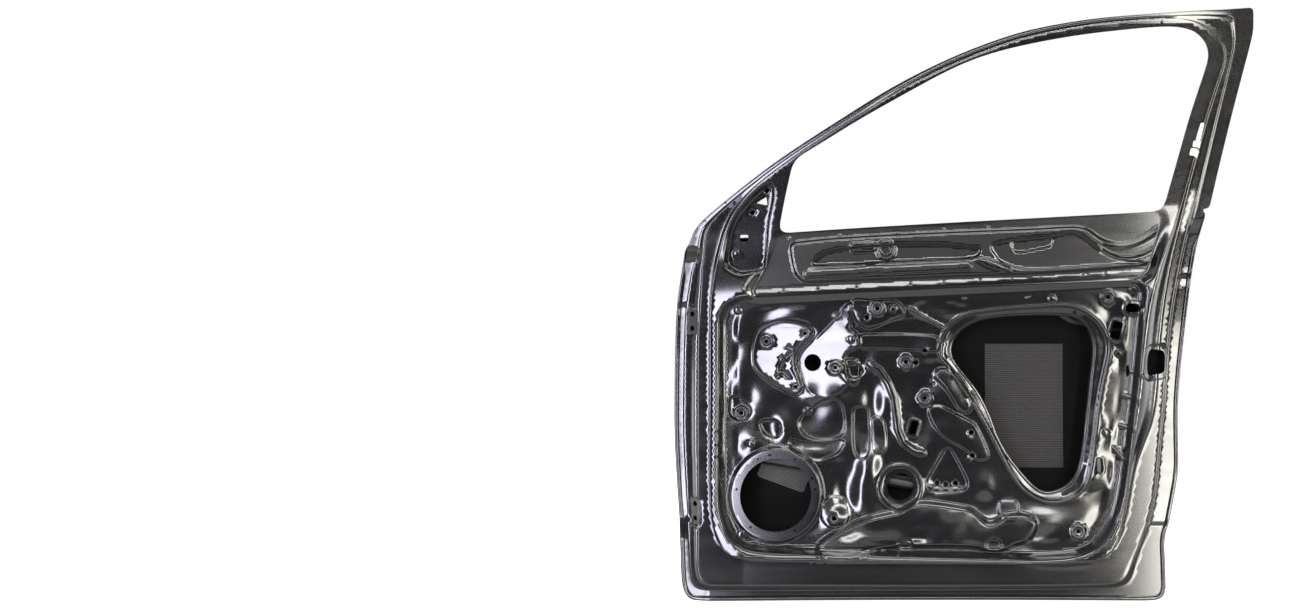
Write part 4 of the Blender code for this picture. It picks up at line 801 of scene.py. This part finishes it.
def makeSkin():
    outline = skinLoop()
    sheet = pressSkin(outline)
    flat, outer, inside, faces, corners, rim = bothSides(sheet, door["skin"])
    slots = np.repeat((0, 1), len(faces) // 2)
    inHoles = edgeDistance(flat[rim[:, 0]], sheet.outline) >= skin["onEdge"]
    walls, across = rimWalls(outer, inside, rim[inHoles])
    faces += walls
    rows = hemRows(outline)
    order = np.array([np.argmin(((flat - np.array(point)) ** 2).sum(axis=1)) for point in sheet.outline])
    count, length = len(outer), len(outline)
    starts = [order] + [2 * count + row * length + np.arange(length) for row in range(len(rows))]
    starts.append(order + count)
    for first, second in zip(starts, starts[1:]):
        quads = np.column_stack((first, np.roll(first, -1), np.roll(second, -1), second))
        faces += (quads if loopArea(outline) > 0 else quads[:, ::-1]).tolist()
    mesh = addPiece("doorSkin", np.vstack([outer, inside] + rows), faces, np.vstack((corners, across)),
                    (coatMaterial, paintedShadeInsideMaterial), "dip_coat", "outer_panel")
    mesh.polygons.foreach_set("material_index", np.pad(slots, (0, len(faces) - len(slots))).astype(np.int32))


makeSkin()

# The inner panel
inner = {
    "frameEdge": ((934, 633.5), (934, 659), (936, 680), (958, 823), (978, 948), (973, 966), (971, 991.5),
        (902, 990), (827, 986), (733, 980), (638, 966), (576, 950), (491, 920), (394, 875), (295, 817),
        (201, 760), (126, 706), (66, 659), (48, 640), (40, 622), (34, 607), (21.5, 583)),
    "window": ((197, 631), (359, 642), (545, 652), (720, 661), (859, 668), (879, 750), (896, 826), (917, 900),
        (919, 918), (913, 935), (895, 952), (870, 959), (839, 960), (792, 957), (699, 948), (605, 932),
        (542, 916), (491, 896), (427, 864), (339, 818), (281, 784), (227, 753), (210, 690)),
    "landFoot": ((50, 604), (34, 575), (27, 538), (20, 500), (16, 420), (15, 326), (17, 261), (23, 195),
        (30, 129), (34, 100), (40, 45), (45, 26), (57, 17), (100, 15.5), (300, 15), (500, 15), (650, 16),
        (750, 18), (793, 20), (812, 34), (822, 70), (844, 118), (857, 160), (866, 205), (873, 270),
        (880, 326), (883, 380), (889, 449), (897, 519), (909, 591), (918, 645), (927, 680), (951, 823),
        (970, 940), (966, 962), (963, 984), (902, 985), (827, 982), (733, 976), (639, 962), (577, 946),
        (492, 916), (396, 871), (297, 813), (203, 756), (129, 702), (72, 656), (56, 636)),
    "landTop": ((68, 606), (64, 580), (60, 519), (53, 449), (53, 345), (55, 224), (60, 107), (61, 55),
        (72, 37), (96, 33.5), (300, 32), (476, 31), (650, 32), (751, 34), (783, 37), (797, 46), (810, 76),
        (832, 123), (845, 165), (853, 207), (860, 275), (867, 327), (871, 379), (875, 449), (882, 519),
        (894, 591), (907, 660), (918, 690), (943, 823), (963, 930), (958, 955), (950, 976), (902, 980.5),
        (827, 979), (732, 973), (640, 959), (578, 943), (493, 913), (398, 868), (299, 810), (206, 753),
        (133, 699), (82, 655), (70, 634)),
    "ridgeFoot": ((98, 650), (82, 590), (75, 540), (72, 451), (72, 349), (73, 248), (78, 149), (90, 103),
        (116, 80), (174, 71), (450, 68), (700, 66.5), (744, 71), (766, 80), (788, 107), (801, 140),
        (809, 173), (817, 216), (832, 258), (849, 296), (858, 331), (862, 371), (866, 449), (872, 519),
        (882, 591), (897, 664), (930, 818), (955, 912), (950, 936), (932, 956), (897, 974), (860, 977.5),
        (822, 976.5), (731, 970), (640, 955.5), (578, 939.5), (493, 908.5), (398, 864.5), (299, 807),
        (211, 754), (137, 699)),
    "ridgeTop": ((108, 640), (93, 582), (86, 535), (83, 451), (83, 349), (83, 248), (88, 149), (100, 110),
        (124, 88), (174, 80), (450, 77), (712, 75), (754, 83), (777, 108), (785, 149), (793, 190), (801, 248),
        (809, 315), (818, 383), (827, 485), (841, 552), (868, 621), (888, 669), (920, 818), (946, 911),
        (941, 932), (925, 950), (893, 967), (859, 972), (822, 971), (731, 964.5), (640, 950), (578, 934),
        (493, 903), (398, 859), (301, 801), (214, 748), (141, 693)),
    "field": ((104, 500), (102, 349), (104, 200), (109, 151), (129, 114), (161, 98), (260, 96), (460, 90),
        (677, 86), (735, 101), (766, 136), (781, 181), (791, 237), (801, 314), (810, 383), (816, 450),
        (820, 500), (826, 547), (480, 534), (135, 518)),
    "beltZone": ((150, 524), (480, 540), (828, 556), (842, 600), (853, 640), (855, 664), (545, 650),
        (200, 629), (192, 600), (172, 560)),
    "mirrorField": ((186, 712), (165, 698), (145, 678), (128, 658), (118, 638), (112, 608), (108, 578),
        (130, 566), (168, 572), (172, 610), (174, 648), (186, 690)),
    "spacing": 0.0070, "wallSpacing": 0.0051, "softRun": 0.021, "fieldRun": 0.009, "run": 0.010,
    "sharp": 0.006, "flowInset": 0.030, "flowRun": 0.016, "edgeBreak": 0.05, "edgeReach": 0.010,
    "hemStep": 3, "softReach": 0.02, "fieldReach": 0.03, "windowReach": 0.022, "windowSpacing": 0.005,
    "leanRun": 0.002,
    # the front bands of land and ridge lean a little, each to its own side
    "leanFrom": 0.160, "landLean": -0.050, "ridgeLean": 0.055,
    # the band between belt and field leans downward
    "sill": ((738, 301), (771, 299), (857, 294.5), (911, 291.7), (980, 288.5), (1040, 286), (1080, 284.3),
        (1140, 281.5)),
    "sillHalf": 0.0075, "sillLevel": -0.095, "sillLean": -0.220,
    # waves in the field: height, length, degrees, start; and the places that they leave flat
    "flow": ((0.0012, 0.125, 20, 0.4), (0.0008, 0.090, 75, 1.9), (0.0005, 0.066, -40, 3.1)),
    "calm": ((782, 358, 0.060), (826, 358, 0.062), (782, 492, 0.095), (1040, 395, 0.150), (1030, 345, 0.150),
        (1045, 460, 0.100), (947, 470, 0.045), (901, 488, 0.045)),
    "calmFade": 0.040}
access = {
    # the sink's outline and the opening's turned edge
    "outer": ((643, 503), (590, 500), (524, 492), (502, 480), (484, 463), (478, 443), (476, 420), (491, 408),
        (535, 346), (567, 290), (590, 245), (614, 202), (641, 181), (671, 172), (707, 181), (728, 201),
        (738, 245), (750, 347), (771, 440), (753, 477), (724, 499), (695, 507)),
    "edge": ((643, 491), (555, 486), (515, 467), (496, 441), (496, 418), (555, 346), (581, 268), (626, 210),
        (649, 190), (667, 187), (695, 197), (714, 219), (724, 266), (733, 346), (744, 441), (732, 472),
        (708, 489)),
    "sink": 0.007, "lip": 0.003, "turned": 0.003, "run": 0.004, "reach": 0.03, "spacing": 0.0035}
speaker = {"centre": (195, 186), "ring": 0.089, "ringRun": 0.010, "hole": 0.072, "level": 0.088,
           "lean": -0.035, "spacing": 0.0035, "screwCircle": 0.080, "screw": 0.0025, "screwSpacing": 0.0014,
           "angles": (8, 24, 62, 100, 118, 172, 232, 300), "collar": (407, 196), "collarHole": 0.027,
           "collarSpacing": 0.003,
           # rings round the collar: radius, rise, run
           "collarRings": ((0.044, 0.004, 0.004), (0.037, -0.012, 0.008))}
forms = {
    # rise, run and outlines
    "high": (0.010, 0.010, (((468, 388), (486, 372), (500, 352), (512, 331), (522, 325), (529, 335),
        (522, 355), (506, 381), (494, 391), (478, 396)),)),
    "middle": (0.007, 0.007, (((326, 516), (342, 516), (373, 512), (395, 514), (409, 506), (413, 492),
        (395, 486), (373, 477), (352, 470), (336, 479), (327, 498)), ((340, 436), (384, 436), (430, 434),
        (470, 430), (474, 440), (470, 452), (430, 455), (384, 456), (340, 455), (336, 446)))),
    "low": (0.005, 0.007, (((457, 329), (474, 333), (506, 317), (535, 302), (551, 270), (559, 247),
        (542, 244), (521, 264), (485, 281), (465, 305)), ((276, 168), (288, 180), (311, 175), (319, 153),
        (312, 135), (290, 131), (274, 146)), ((360, 312), (369, 314), (377, 305), (381, 278), (378, 256),
        (366, 256), (363, 284)), ((310, 412), (332, 412), (335, 395), (329, 370), (314, 379), (303, 391)),
        ((580, 150), (608, 150), (608, 171), (580, 171)))),
    "shallow": (-0.006, 0.007, (((215, 276), (234, 270), (269, 267), (309, 275), (298, 256), (266, 244),
        (241, 251), (222, 263)), ((165, 308), (195, 308), (197, 287), (191, 282), (173, 288)), ((328, 330),
        (328, 264), (336, 247), (347, 247), (352, 262), (349, 330)), ((407, 99), (427, 99), (427, 107),
        (417, 111), (407, 107)), ((558, 99), (578, 99), (578, 107), (568, 111), (558, 107)))),
    "dish": (-0.008, 0.007, (((233, 304), (242, 287), (261, 279), (288, 279), (305, 286), (309, 304),
        (304, 335), (292, 345), (272, 342), (238, 315)), ((124, 349), (114, 349), (112, 322), (122, 312),
        (137, 312), (146, 322), (145, 332)))),
    "pocket": (-0.011, 0.007, (((489, 261), (456, 206), (458, 197), (465, 193), (515, 193), (521, 198),
        (521, 206), (495, 256)),))}
ridges = {
    # each form: half the line's width, rise, run
    "sRidge": ((353, 409), (372, 395), (386, 374), (397, 347), (400, 321), (403, 294), (413, 271), (433, 257),
        (448, 254)),
    "side": (((824, 388), (801, 397)), ((817, 347), (794, 354)), ((810, 296), (787, 303)),
        ((797, 240), (776, 265)), ((752, 245), (752, 222)), ((423, 503), (484, 467))),
    "sForm": (0.003, 0.007, 0.006), "sideForm": (0.004 / 3, 0.004, 0.003)}
bosses = {
    "holed": ((295, 401), (176, 446), (131, 322), (368, 502), (417, 410), (450, 348), (767, 522), (713, 124)),
    "radius": 0.013, "rise": 0.006, "hole": 0.0045, "bossDish": 0.0035,
    "domes": ((322, 449), (149, 272), (395, 502), (127, 499), (297, 489), (137, 121), (670, 519), (810, 535),
        (786, 425), (764, 289), (122, 596), (246, 325)),
    # each form: radius, rise, run
    "dome": (0.005, 0.005, 0.005), "cup": (328, 395), "cupForm": (0.013, -0.009, 0.005),
    "clips": ((243, 460), (226, 368), (350, 487), (530, 289), (532, 250), (295, 146), (450, 430), (434, 409),
        (486, 199), (471, 201), (503, 201), (178, 704), (152, 667)),
    "clipRadius": 0.0045, "clipForm": (0.006, -0.0012, 0.002), "bigHole": (255, 409), "bigRadius": 0.0176}
openings = {
    # place, width, height, corner, degrees; then the flange's width, drop and run, where it has one
    "slots": (((782, 465), 0.020, 0.036, 0.004, -15, (0.004, 0.002, 0.003)),
        ((430, 297), 0.014, 0.028, 0.003, -15, (0.004, 0.002, 0.003)),
        ((809, 503), 0.028, 0.019, 0.0095, 0, (0.004, 0.003, 0.004)),
        ((802, 395), 0.007, 0.024, 0.012, 0, None)),
    "latchFlange": (0.008, -0.004, 0.005), "latchReach": 0.008, "mirrorReach": 0.003,
    "latch": ((838, 386), (868, 388), (872, 394), (873, 424), (868, 430), (840, 432), (836, 424), (834, 409),
        (835, 394)),
    "mirror": (((129, 618), (143, 618), (143, 629), (129, 629)), ((176, 697), (154, 684), (178, 679)))}
hinges = {"shares": (0.480, 0.150), "width": 0.026, "height": 0.052, "corner": 0.006, "run": 0.005,
          "offset": 0.022, "wallRun": 0.042, "bolt": 0.0055, "boltEdge": 0.011,
          # the rows of the land's foot that run up the front edge
          "frontRows": (2, 11)}

# Smaller marks, placed by where the photograph's inside view shows them
marks = {
    "level": -0.090,
    # rise and run of the forms below, and the tilts of the white plane and pad
    "bulgeForm": (0.012, 0.014), "planeForm": (0.005, 0.006), "planeTilt": (-0.128, 0.0), "moat": 0.005,
    "moatForm": (-0.003, 0.004), "padForm": (0.009, 0.004), "padTilt": (-0.105, 0.0),
    "grooveHalf": 0.0014, "grooveForm": (-0.004, 0.0022), "grooveSpacing": 0.0015,
    # radius, rise and run of the small round marks
    "dotForm": (0.002, -0.002, 0.0018),
    # place, half width and half height in mm, rise in mm
    "swells": ((750, 443, 21, 21, 3.6), (815, 455, 42, 16, 3.6), (770, 430, 18, 23, -4.2),
        (869, 470, 20, 44, 5.4), (846, 497, 20, 31, -5.4), (839, 520, 26, 22, 4.2), (822, 395, 31, 18, 3.0),
        (925, 356, 57, 16, 3.0), (948, 400, 39, 26, 3.6), (915, 425, 26, 34, -4.2), (872, 405, 16, 31, -3.6),
        (988, 507, 31, 26, -2.5), (1035, 522, 52, 23, 4.8), (1095, 472, 21, 34, 3.6),
        (1093, 430, 21, 29, 3.0), (738, 395, 17, 39, 3.0), (905, 312, 39, 16, 3.6), (960, 312, 29, 13, -2.4),
        (790, 318, 52, 13, 2.4), (700, 500, 52, 39, 1.8), (855, 545, 52, 21, 3.6), (1060, 556, 65, 18, -2.4),
        (757, 520, 29, 29, -1.8), (1010, 552, 31, 16, 2.4)),
    "bulge": ((818, 548), (845, 551), (862, 548), (880, 543), (905, 541), (975, 541), (985, 545), (1003, 545),
        (1012, 540), (1027, 536), (1035, 520), (1010, 515), (990, 528), (978, 520), (970, 512), (925, 505),
        (912, 508), (900, 515), (870, 520), (835, 535)),
    "plane": ((818.6, 339.6), (826, 332), (836, 322), (845, 309), (851, 304), (850, 318), (848, 330),
        (857, 336), (859, 345), (852, 350), (846, 351), (843, 360), (846, 372), (848, 382), (840, 392),
        (826, 398.5), (815, 395), (808.5, 393), (803.8, 382.4), (799.8, 371.7), (798.5, 361), (805.2, 350.3)),
    "pad": ((754.3, 353), (755.6, 343.6), (759, 334.2), (766.3, 328.2), (777, 325), (787.8, 324.2),
        (798.5, 325.5), (807.9, 328.8), (811.2, 334.2), (806.5, 340.2), (799, 346.2), (792.5, 357),
        (793, 367.7), (797, 378.4), (800.5, 388.4), (797.8, 393.8), (791.8, 393.8), (782.4, 388.4),
        (770.4, 381), (759.6, 373), (754.3, 365)),
    "padGroove": (((786, 348), (795, 352), (799, 343)), ((795, 352), (783, 361), (779, 369), (781, 378)),
        ((783, 361), (780, 357)), ((779, 369), (789, 380)), ((781, 376), (776, 379))),
    "spots": ((790, 239), (840, 236), (897, 234), (944, 230), (988, 228)),
    "strip": ((784.5, 291), (818.5, 289), (857, 287), (911, 284), (944, 283), (980, 281.5), (1011.6, 279.7),
        (1040, 278), (1082, 275), (1104, 274.5), (1145, 273)),
    "dots": ((721, 431), (721, 444.5), (721, 456), (931, 381), (934, 385), (964.5, 299), (1029, 297.6),
        (933, 488), (960.5, 488))}


def hingePlane(zShare):
    z0 = zShare * door["height"]
    rows = sorted(toPlaces(inner["landFoot"][slice(*hinges["frontRows"])]), key=lambda row: row[1])
    x0 = float(np.interp(z0, [row[1] for row in rows], [row[0] for row in rows])) + hinges["offset"]
    outer = float(flangeY(x0, z0))
    cabin = float(landY(x0, z0))
    slope = (outer - cabin) / hinges["wallRun"]
    return (x0, z0), lambda x, z: (outer + cabin) / 2 - (x - x0) * slope + 0 * z


def tangentPlane(centre, level, lean):
    x0, z0 = centre
    step = inner["run"]
    middle = float(sideY(x0, z0))
    slopeX = (float(sideY(x0 + step, z0)) - middle) / step
    slopeZ = (float(sideY(x0, z0 + step)) - middle) / step
    return lambda x, z: middle - level + (x - x0) * (slopeX + lean) + (z - z0) * slopeZ


def innerOutline():
    # The hem's inside below the belt, then the window frame's own edge
    skinEdge = inset(skinLoop(), skin["sideGap"] + door["skin"])
    hemmed = [point for point in skinEdge if aboveBelt(*point) < -skin["hemFade"]]
    start = next(i for i in range(len(hemmed)) if math.dist(hemmed[i], hemmed[i - 1]) > inner["edgeBreak"])
    hemmed = hemmed[start:] + hemmed[:start]
    upper = toPlaces(inner["frameEdge"])
    if math.dist(hemmed[-1], upper[0]) > math.dist(hemmed[-1], upper[-1]):
        upper = upper[::-1]
    return evenly(rounded(hemmed[::inner["hemStep"]] + upper, inner["edgeReach"]), skin["edgeSpacing"])


def leaning(rule, share):
    return lambda x, z: rule(x, z) + share * np.clip(inner["leanFrom"] - x, 0, None)


def leanBand(sheet, line, halfWidth, share):
    # A narrow strip turned up or down about its middle line
    lineX, lineZ = np.array(line).T
    sheet.press(bead(line, halfWidth), lambda x, z, y: y + share * (z - np.interp(x, lineX, lineZ)),
                inner["leanRun"], spacing=halfWidth / 2)


def addMainLevels(sheet):
    for name, rule, lean in (("land", landY, inner["landLean"]), ("ridge", trimY, inner["ridgeLean"])):
        top, foot = toPlaces(inner[name + "Top"]), toPlaces(inner[name + "Foot"])
        sheet.lay(top, leaning(rule, lean), inner["run"], foot, reach=inner["softReach"],
                  spacing=inner["wallSpacing"])
    leanBand(sheet, photoLoop(inner["sill"], inner["sillLevel"]), inner["sillHalf"], inner["sillLean"])
    field, reach = toPlaces(inner["field"]), inner["fieldReach"]
    sheet.lay(field, lambda x, z: sideY(x, z) - door["field"], inner["fieldRun"], reach=reach, crisp=True)
    sheet.swellAt = len(sheet.forms) - 1
    sheet.press(inset(field, inner["flowInset"]), lambda x, z, y: y + flowing(x, z), inner["flowRun"],
                reach=reach)
    sheet.lay(toPlaces(inner["beltZone"]), beltY, inner["softRun"], reach=inner["softReach"])
    sheet.lay(toPlaces(inner["mirrorField"]), lambda x, z: sideY(x, z) - door["mirror"], inner["run"])
    sheet.cut(smooth(inner["window"], inner["windowReach"], inner["windowSpacing"]))


def flowing(x, z):
    total = 0 * x
    for height, length, degrees, start in inner["flow"]:
        turn = math.radians(degrees)
        along = x * math.cos(turn) + z * math.sin(turn)
        total = total + height * np.sin(2 * math.pi * along / length + start)
    for column, row, radius in inner["calm"]:
        x0, z0 = photoPlace(column, row, marks["level"])
        total = total * softRamp(np.hypot(x - x0, z - z0), radius, radius + inner["calmFade"])
    return total


def addHingePads(sheet):
    for share in hinges["shares"]:
        centre, plane = hingePlane(share)
        sheet.lay(box(centre, hinges["width"], hinges["height"], hinges["corner"]), plane, hinges["run"],
                  reach=tiny)
        drop = hinges["height"] / 2 - hinges["boltEdge"]
        for side in (-1, 1):
            sheet.cut(circle((centre[0], centre[1] + side * drop), hinges["bolt"]))


def addAccess(sheet):
    # A low lip outside, the sink, and a turned edge round the opening
    outer = smooth(access["outer"], access["reach"], access["spacing"])
    lip, run = access["lip"], access["run"]
    sheet.lift(inset(outer, -run), lip, run, reach=tiny)
    sheet.lift(inset(outer, inner["sharp"] * 0.5), -access["sink"] - lip, inner["sharp"], reach=tiny)
    edge = smooth(access["edge"], access["reach"], access["spacing"])
    sheet.flangedCut(edge, access["turned"], -run, run)


def addSpeaker(sheet):
    centre = toPlace(speaker["centre"])
    plane = tangentPlane(centre, speaker["level"], speaker["lean"])
    sheet.lay(circle(centre, speaker["ring"], speaker["spacing"]), plane, speaker["ringRun"], reach=tiny)
    sheet.cut(circle(centre, speaker["hole"], speaker["spacing"]))
    for spot in onCircle(centre, speaker["screwCircle"], [math.radians(a) for a in speaker["angles"]]):
        sheet.cut(circle(spot, speaker["screw"], speaker["screwSpacing"]))
    collar = toPlace(speaker["collar"])
    for radius, rise, run in speaker["collarRings"]:
        sheet.ring(collar, radius, rise, run)
    sheet.cut(circle(collar, speaker["collarHole"], speaker["collarSpacing"]))


def addFieldForms(sheet):
    level = marks["level"]
    for column, row, *sizes in marks["swells"]:
        width, height, rise = (size / 1000 for size in sizes)
        sheet.swells.append((photoPlace(column, row, level), width, height, rise))
    sheet.lift(photoLoop(marks["bulge"], level), *marks["bulgeForm"], reach=inner["softReach"])
    sheet.lift(photoLoop(marks["plane"], level), *marks["planeForm"], tilt=marks["planeTilt"])
    whitePad = photoLoop(marks["pad"], level)
    sheet.lift(inset(whitePad, -marks["moat"]), *marks["moatForm"])
    sheet.lift(whitePad, *marks["padForm"], tilt=marks["padTilt"])
    for rise, run, loops in forms.values():
        for loop in loops:
            sheet.lift(toPlaces(loop), rise, run)
    for name, lines in (("s", [ridges["sRidge"]]), ("side", ridges["side"])):
        half, rise, run = ridges[name + "Form"]
        for line in lines:
            sheet.lift(bead(toPlaces(line), half), rise, run)
    for centre in toPlaces(bosses["domes"]):
        sheet.ring(centre, *bosses["dome"])
    sheet.ring(toPlace(bosses["cup"]), *bosses["cupForm"])
    for centre in toPlaces(bosses["holed"]):
        sheet.boss(centre, bosses["radius"], bosses["rise"], bosses["hole"], bosses["bossDish"])
    for table in marks["padGroove"]:
        sheet.lift(bead(photoLoop(table, level), marks["grooveHalf"]), *marks["grooveForm"],
                   spacing=marks["grooveSpacing"])
    for centre in photoLoop(marks["dots"], level):
        sheet.ring(centre, *marks["dotForm"])


def addFieldHoles(sheet):
    sheet.cut(circle(toPlace(bosses["bigHole"]), bosses["bigRadius"]))
    for centre in toPlaces(bosses["clips"]):
        sheet.ring(centre, *bosses["clipForm"])
        sheet.cut(circle(centre, bosses["clipRadius"], mesher["smallHole"]))
    for share, width, height, corner, degrees, flange in openings["slots"]:
        loop = evenly(box(toPlace(share), width, height, corner, degrees), mesher["slot"])
        if flange:
            sheet.flangedCut(loop, *flange)
        else:
            sheet.cut(loop)
    for loop in openings["mirror"]:
        sheet.cut(smooth(loop, openings["mirrorReach"], mesher["slot"]))
    latch = smooth(openings["latch"], openings["latchReach"], mesher["squareHole"])
    sheet.flangedCut(latch, *openings["latchFlange"])


def makeInner():
    sheet = Sheet(innerOutline(), flangeY, inner["spacing"])
    addMainLevels(sheet)
    addHingePads(sheet)
    addAccess(sheet)
    addSpeaker(sheet)
    addFieldForms(sheet)
    addFieldHoles(sheet)
    sheetPiece("doorInner", sheet, "inner_panel")
    return sheet


innerSheet = makeInner()

# The panel that closes the belt on the cabin side
belt = {
    "margin": 0.003, "gap": 0.0010, "spacing": 0.0040, "level": -0.078,
    # forms as outlines in the photograph, each on the one before: rise, wall, outline
    "forms": ((0.013, 0.010, ((794, 247), (839, 242), (937, 237), (1035.5, 233.5), (1072, 231),
        (1084.6, 233.5), (1099, 244.5), (1116.5, 249), (1133.7, 246.5), (1153, 234.5), (1163, 226),
        (1165, 240), (1157, 250), (1150, 262), (1104, 268), (1020, 273), (977, 274), (806, 281), (799, 274),
        (796, 262))), (-0.007, 0.005, ((1000, 262), (1020, 270), (1050, 269.5), (1094, 266), (1140, 264),
        (1126, 263.5), (1109, 260.5), (1094.5, 251), (1079.7, 238.5), (1070, 235), (1050, 239.5),
        (1006, 243.5), (990, 248))), (-0.012, 0.014, ((1102, 249), (1116, 252.5), (1134, 250), (1148, 242),
        (1156, 237), (1154, 244), (1142, 253), (1126, 257), (1112, 255))), (-0.011, 0.006, ((814, 266),
        (821, 258.5), (831, 253.5), (851, 251), (900, 247), (937, 247), (962, 249.5), (980, 251), (976, 257),
        (970, 259), (900.5, 261), (866, 264))), (-0.0020, 0.002, ((1011, 243), (1016, 241), (1046, 238),
        (1052, 242), (1049, 248), (1018, 254), (1012, 251))), (0.006, 0.002, ((852, 245), (876, 244),
        (877, 252), (852, 253))), (0.006, 0.004, ((976, 260), (986, 261), (999, 266), (1011, 272.5),
        (999, 271), (986, 267)))),
    "bead": ((809, 275.5), (864, 272.6), (868, 271.6), (881, 271), (886, 271.6), (968, 267.4)),
    "beadHalf": 0.0055, "beadRise": 0.005,
    "boss": (886.5, 251.7), "bossRadius": 0.0185, "bossRise": 0.005, "bossHole": 0.0022, "bossDish": 0.004,
    # the low strip with the weld spots leans upward
    "ledge": ((747, 293.6), (790, 291.6), (857, 287.6), (911, 284.6), (980, 281), (1040, 278), (1082, 275.4),
        (1143, 273.2)),
    "ledgeHalf": 0.0070, "ledgeLean": 0.100,
    "spotForm": (0.0022, -0.0012, 0.0018), "spotsLevel": -0.070, "stripLevel": -0.082}


def makeBelt():
    spacing = belt["spacing"]
    zone = smooth(inner["beltZone"], inner["softReach"], spacing)
    outline = evenly(inset(zone, belt["margin"]), spacing)
    sheet = Sheet(outline, lambda x, z: beltY(x, z) - (belt["gap"] + door["sheet"]), spacing)
    for rise, run, table in belt["forms"]:
        sheet.lift(photoLoop(table, belt["level"]), rise, run)
    long = bead(photoLoop(belt["bead"], belt["level"]), belt["beadHalf"])
    sheet.lift(long, belt["beadRise"], inner["sharp"])
    centre = photoPlace(*belt["boss"], belt["level"])
    sheet.boss(centre, belt["bossRadius"], belt["bossRise"], belt["bossHole"], belt["bossDish"])
    leanBand(sheet, photoLoop(belt["ledge"], belt["level"]), belt["ledgeHalf"], belt["ledgeLean"])
    for name in ("spots", "strip"):
        for centre in photoLoop(marks[name], belt[name + "Level"]):
            sheet.ring(centre, *belt["spotForm"])
    sheetPiece("beltPanel", sheet, "inner_belt_panel")


makeBelt()

# Outer halves of the window frame
frameHalves = {
    "header": ((206, 762.5), (297, 817.5), (395, 875), (491, 919.5), (576, 949.5), (638, 965.5), (733, 979),
        (827, 985), (898, 988.5), (900, 964.5), (870, 970), (838, 971), (791, 968), (697, 959), (602, 942.5),
        (538, 926.5), (487, 906.5), (423, 874.5), (334, 828.5), (276, 795), (226, 766), (219, 755)),
    "headerBead": ((250, 787), (334, 834), (425, 881), (489, 912), (540, 932), (604, 948.5), (698, 965),
        (792, 974), (870, 977.5)),
    "pillar": ((902, 989.5), (945, 991.5), (992, 994), (995, 971), (996, 953), (984, 888), (972, 823),
        (958, 745), (946, 676), (916, 670), (877.5, 670.5), (896, 748), (914, 826), (931, 902), (932, 922),
        (924, 944), (904, 963)),
    "pillarBead": ((912, 700), (929, 790), (946, 880), (955, 930)),
    "mirror": ((203, 760), (126, 705), (67, 658.5), (52, 642), (60, 632), (186, 639), (192, 670), (207, 724),
        (215, 753)),
    "mirrorDish": ((188, 738), (135, 700), (88, 664), (92, 648), (170, 651), (178, 690)),
    "mirrorHoles": (((176, 697), (154, 684), (178, 679)), ((129, 662), (143, 662), (143, 669), (129, 669))),
    "half": 0.003, "beadForm": (-0.003, 0.003), "dishForm": (-0.005, 0.006), "holeReach": 0.003,
    # corner and spacing of the outline, spacing of the grid
    "edge": (0.008, 0.005), "spacing": 0.0055, "mirrorEdge": (0.006, 0.004), "mirrorSpacing": 0.0045}


def makeFrameHalves():
    for name in ("header", "pillar"):
        outline = smooth(frameHalves[name], *frameHalves["edge"])
        sheet = Sheet(outline, frameOuterY, frameHalves["spacing"])
        line = toPlaces(frameHalves[name + "Bead"])
        sheet.lift(bead(line, frameHalves["half"]), *frameHalves["beadForm"])
        sheetPiece(name + "Outer", sheet, name + "_outer")
    outline = smooth(frameHalves["mirror"], *frameHalves["mirrorEdge"])
    sheet = Sheet(outline, frameOuterY, frameHalves["mirrorSpacing"])
    sheet.lift(toPlaces(frameHalves["mirrorDish"]), *frameHalves["dishForm"])
    for loop in frameHalves["mirrorHoles"]:
        sheet.cut(smooth(loop, frameHalves["holeReach"], mesher["slot"]))
    sheetPiece("mirrorPlate", sheet, "mirror_plate")


makeFrameHalves()

# Carried-over nodes take the scene's materials
braced = ("beam_bracket_front", "beam_bracket_rear", "impact_beam", "outer_belt_rail", "upper_hinge_plate",
          "lower_hinge_plate", "latch_plate", "handle_reinforcement")
finishes = {**dict.fromkeys(braced, braceMaterial), "skin_pad_rear": dampingPad("padRear", 0, 1.0),
            # the front pad's light colour is taken 2.2 times brighter, as painted light
            "skin_pad_front": dampingPad("padFrontPaintedLight", -20, 2.2)}
for name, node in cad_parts.items():
    finish = finishes.get(name)
    if name.startswith("weld_nut"):
        finish = nutMaterial
    if name.startswith("beam_mastic"):
        finish = masticMaterial
    if finish:
        for slotPlace in node.material_slots:
            slotPlace.material = finish

# Blank label patches on the rear pillar
label = {"patches": (((1196, 127), (1199.5, 127.5), (1198, 143), (1192, 143.5)),
                     ((1190, 144), (1200, 143), (1199, 150), (1189.5, 150)),
                     ((1188, 151), (1199, 152), (1197, 159.5), (1186.7, 157.5))),
         "lift": 0.0006, "level": -0.108, "corner": 0.002, "spacing": 0.003, "thickness": 0.0004}


def labelY(x, z):
    return innerSheet.face(np.column_stack((x, z))) - label["lift"]


def makeLabel():
    for index, patch in enumerate(label["patches"]):
        loop = evenly(rounded(photoLoop(patch, label["level"]), label["corner"]), label["corner"])
        sheet = Sheet(loop, labelY, label["spacing"])
        sheetPiece("label" + str(index + 1), sheet, None, label["thickness"], None, labelMaterial)


makeLabel()
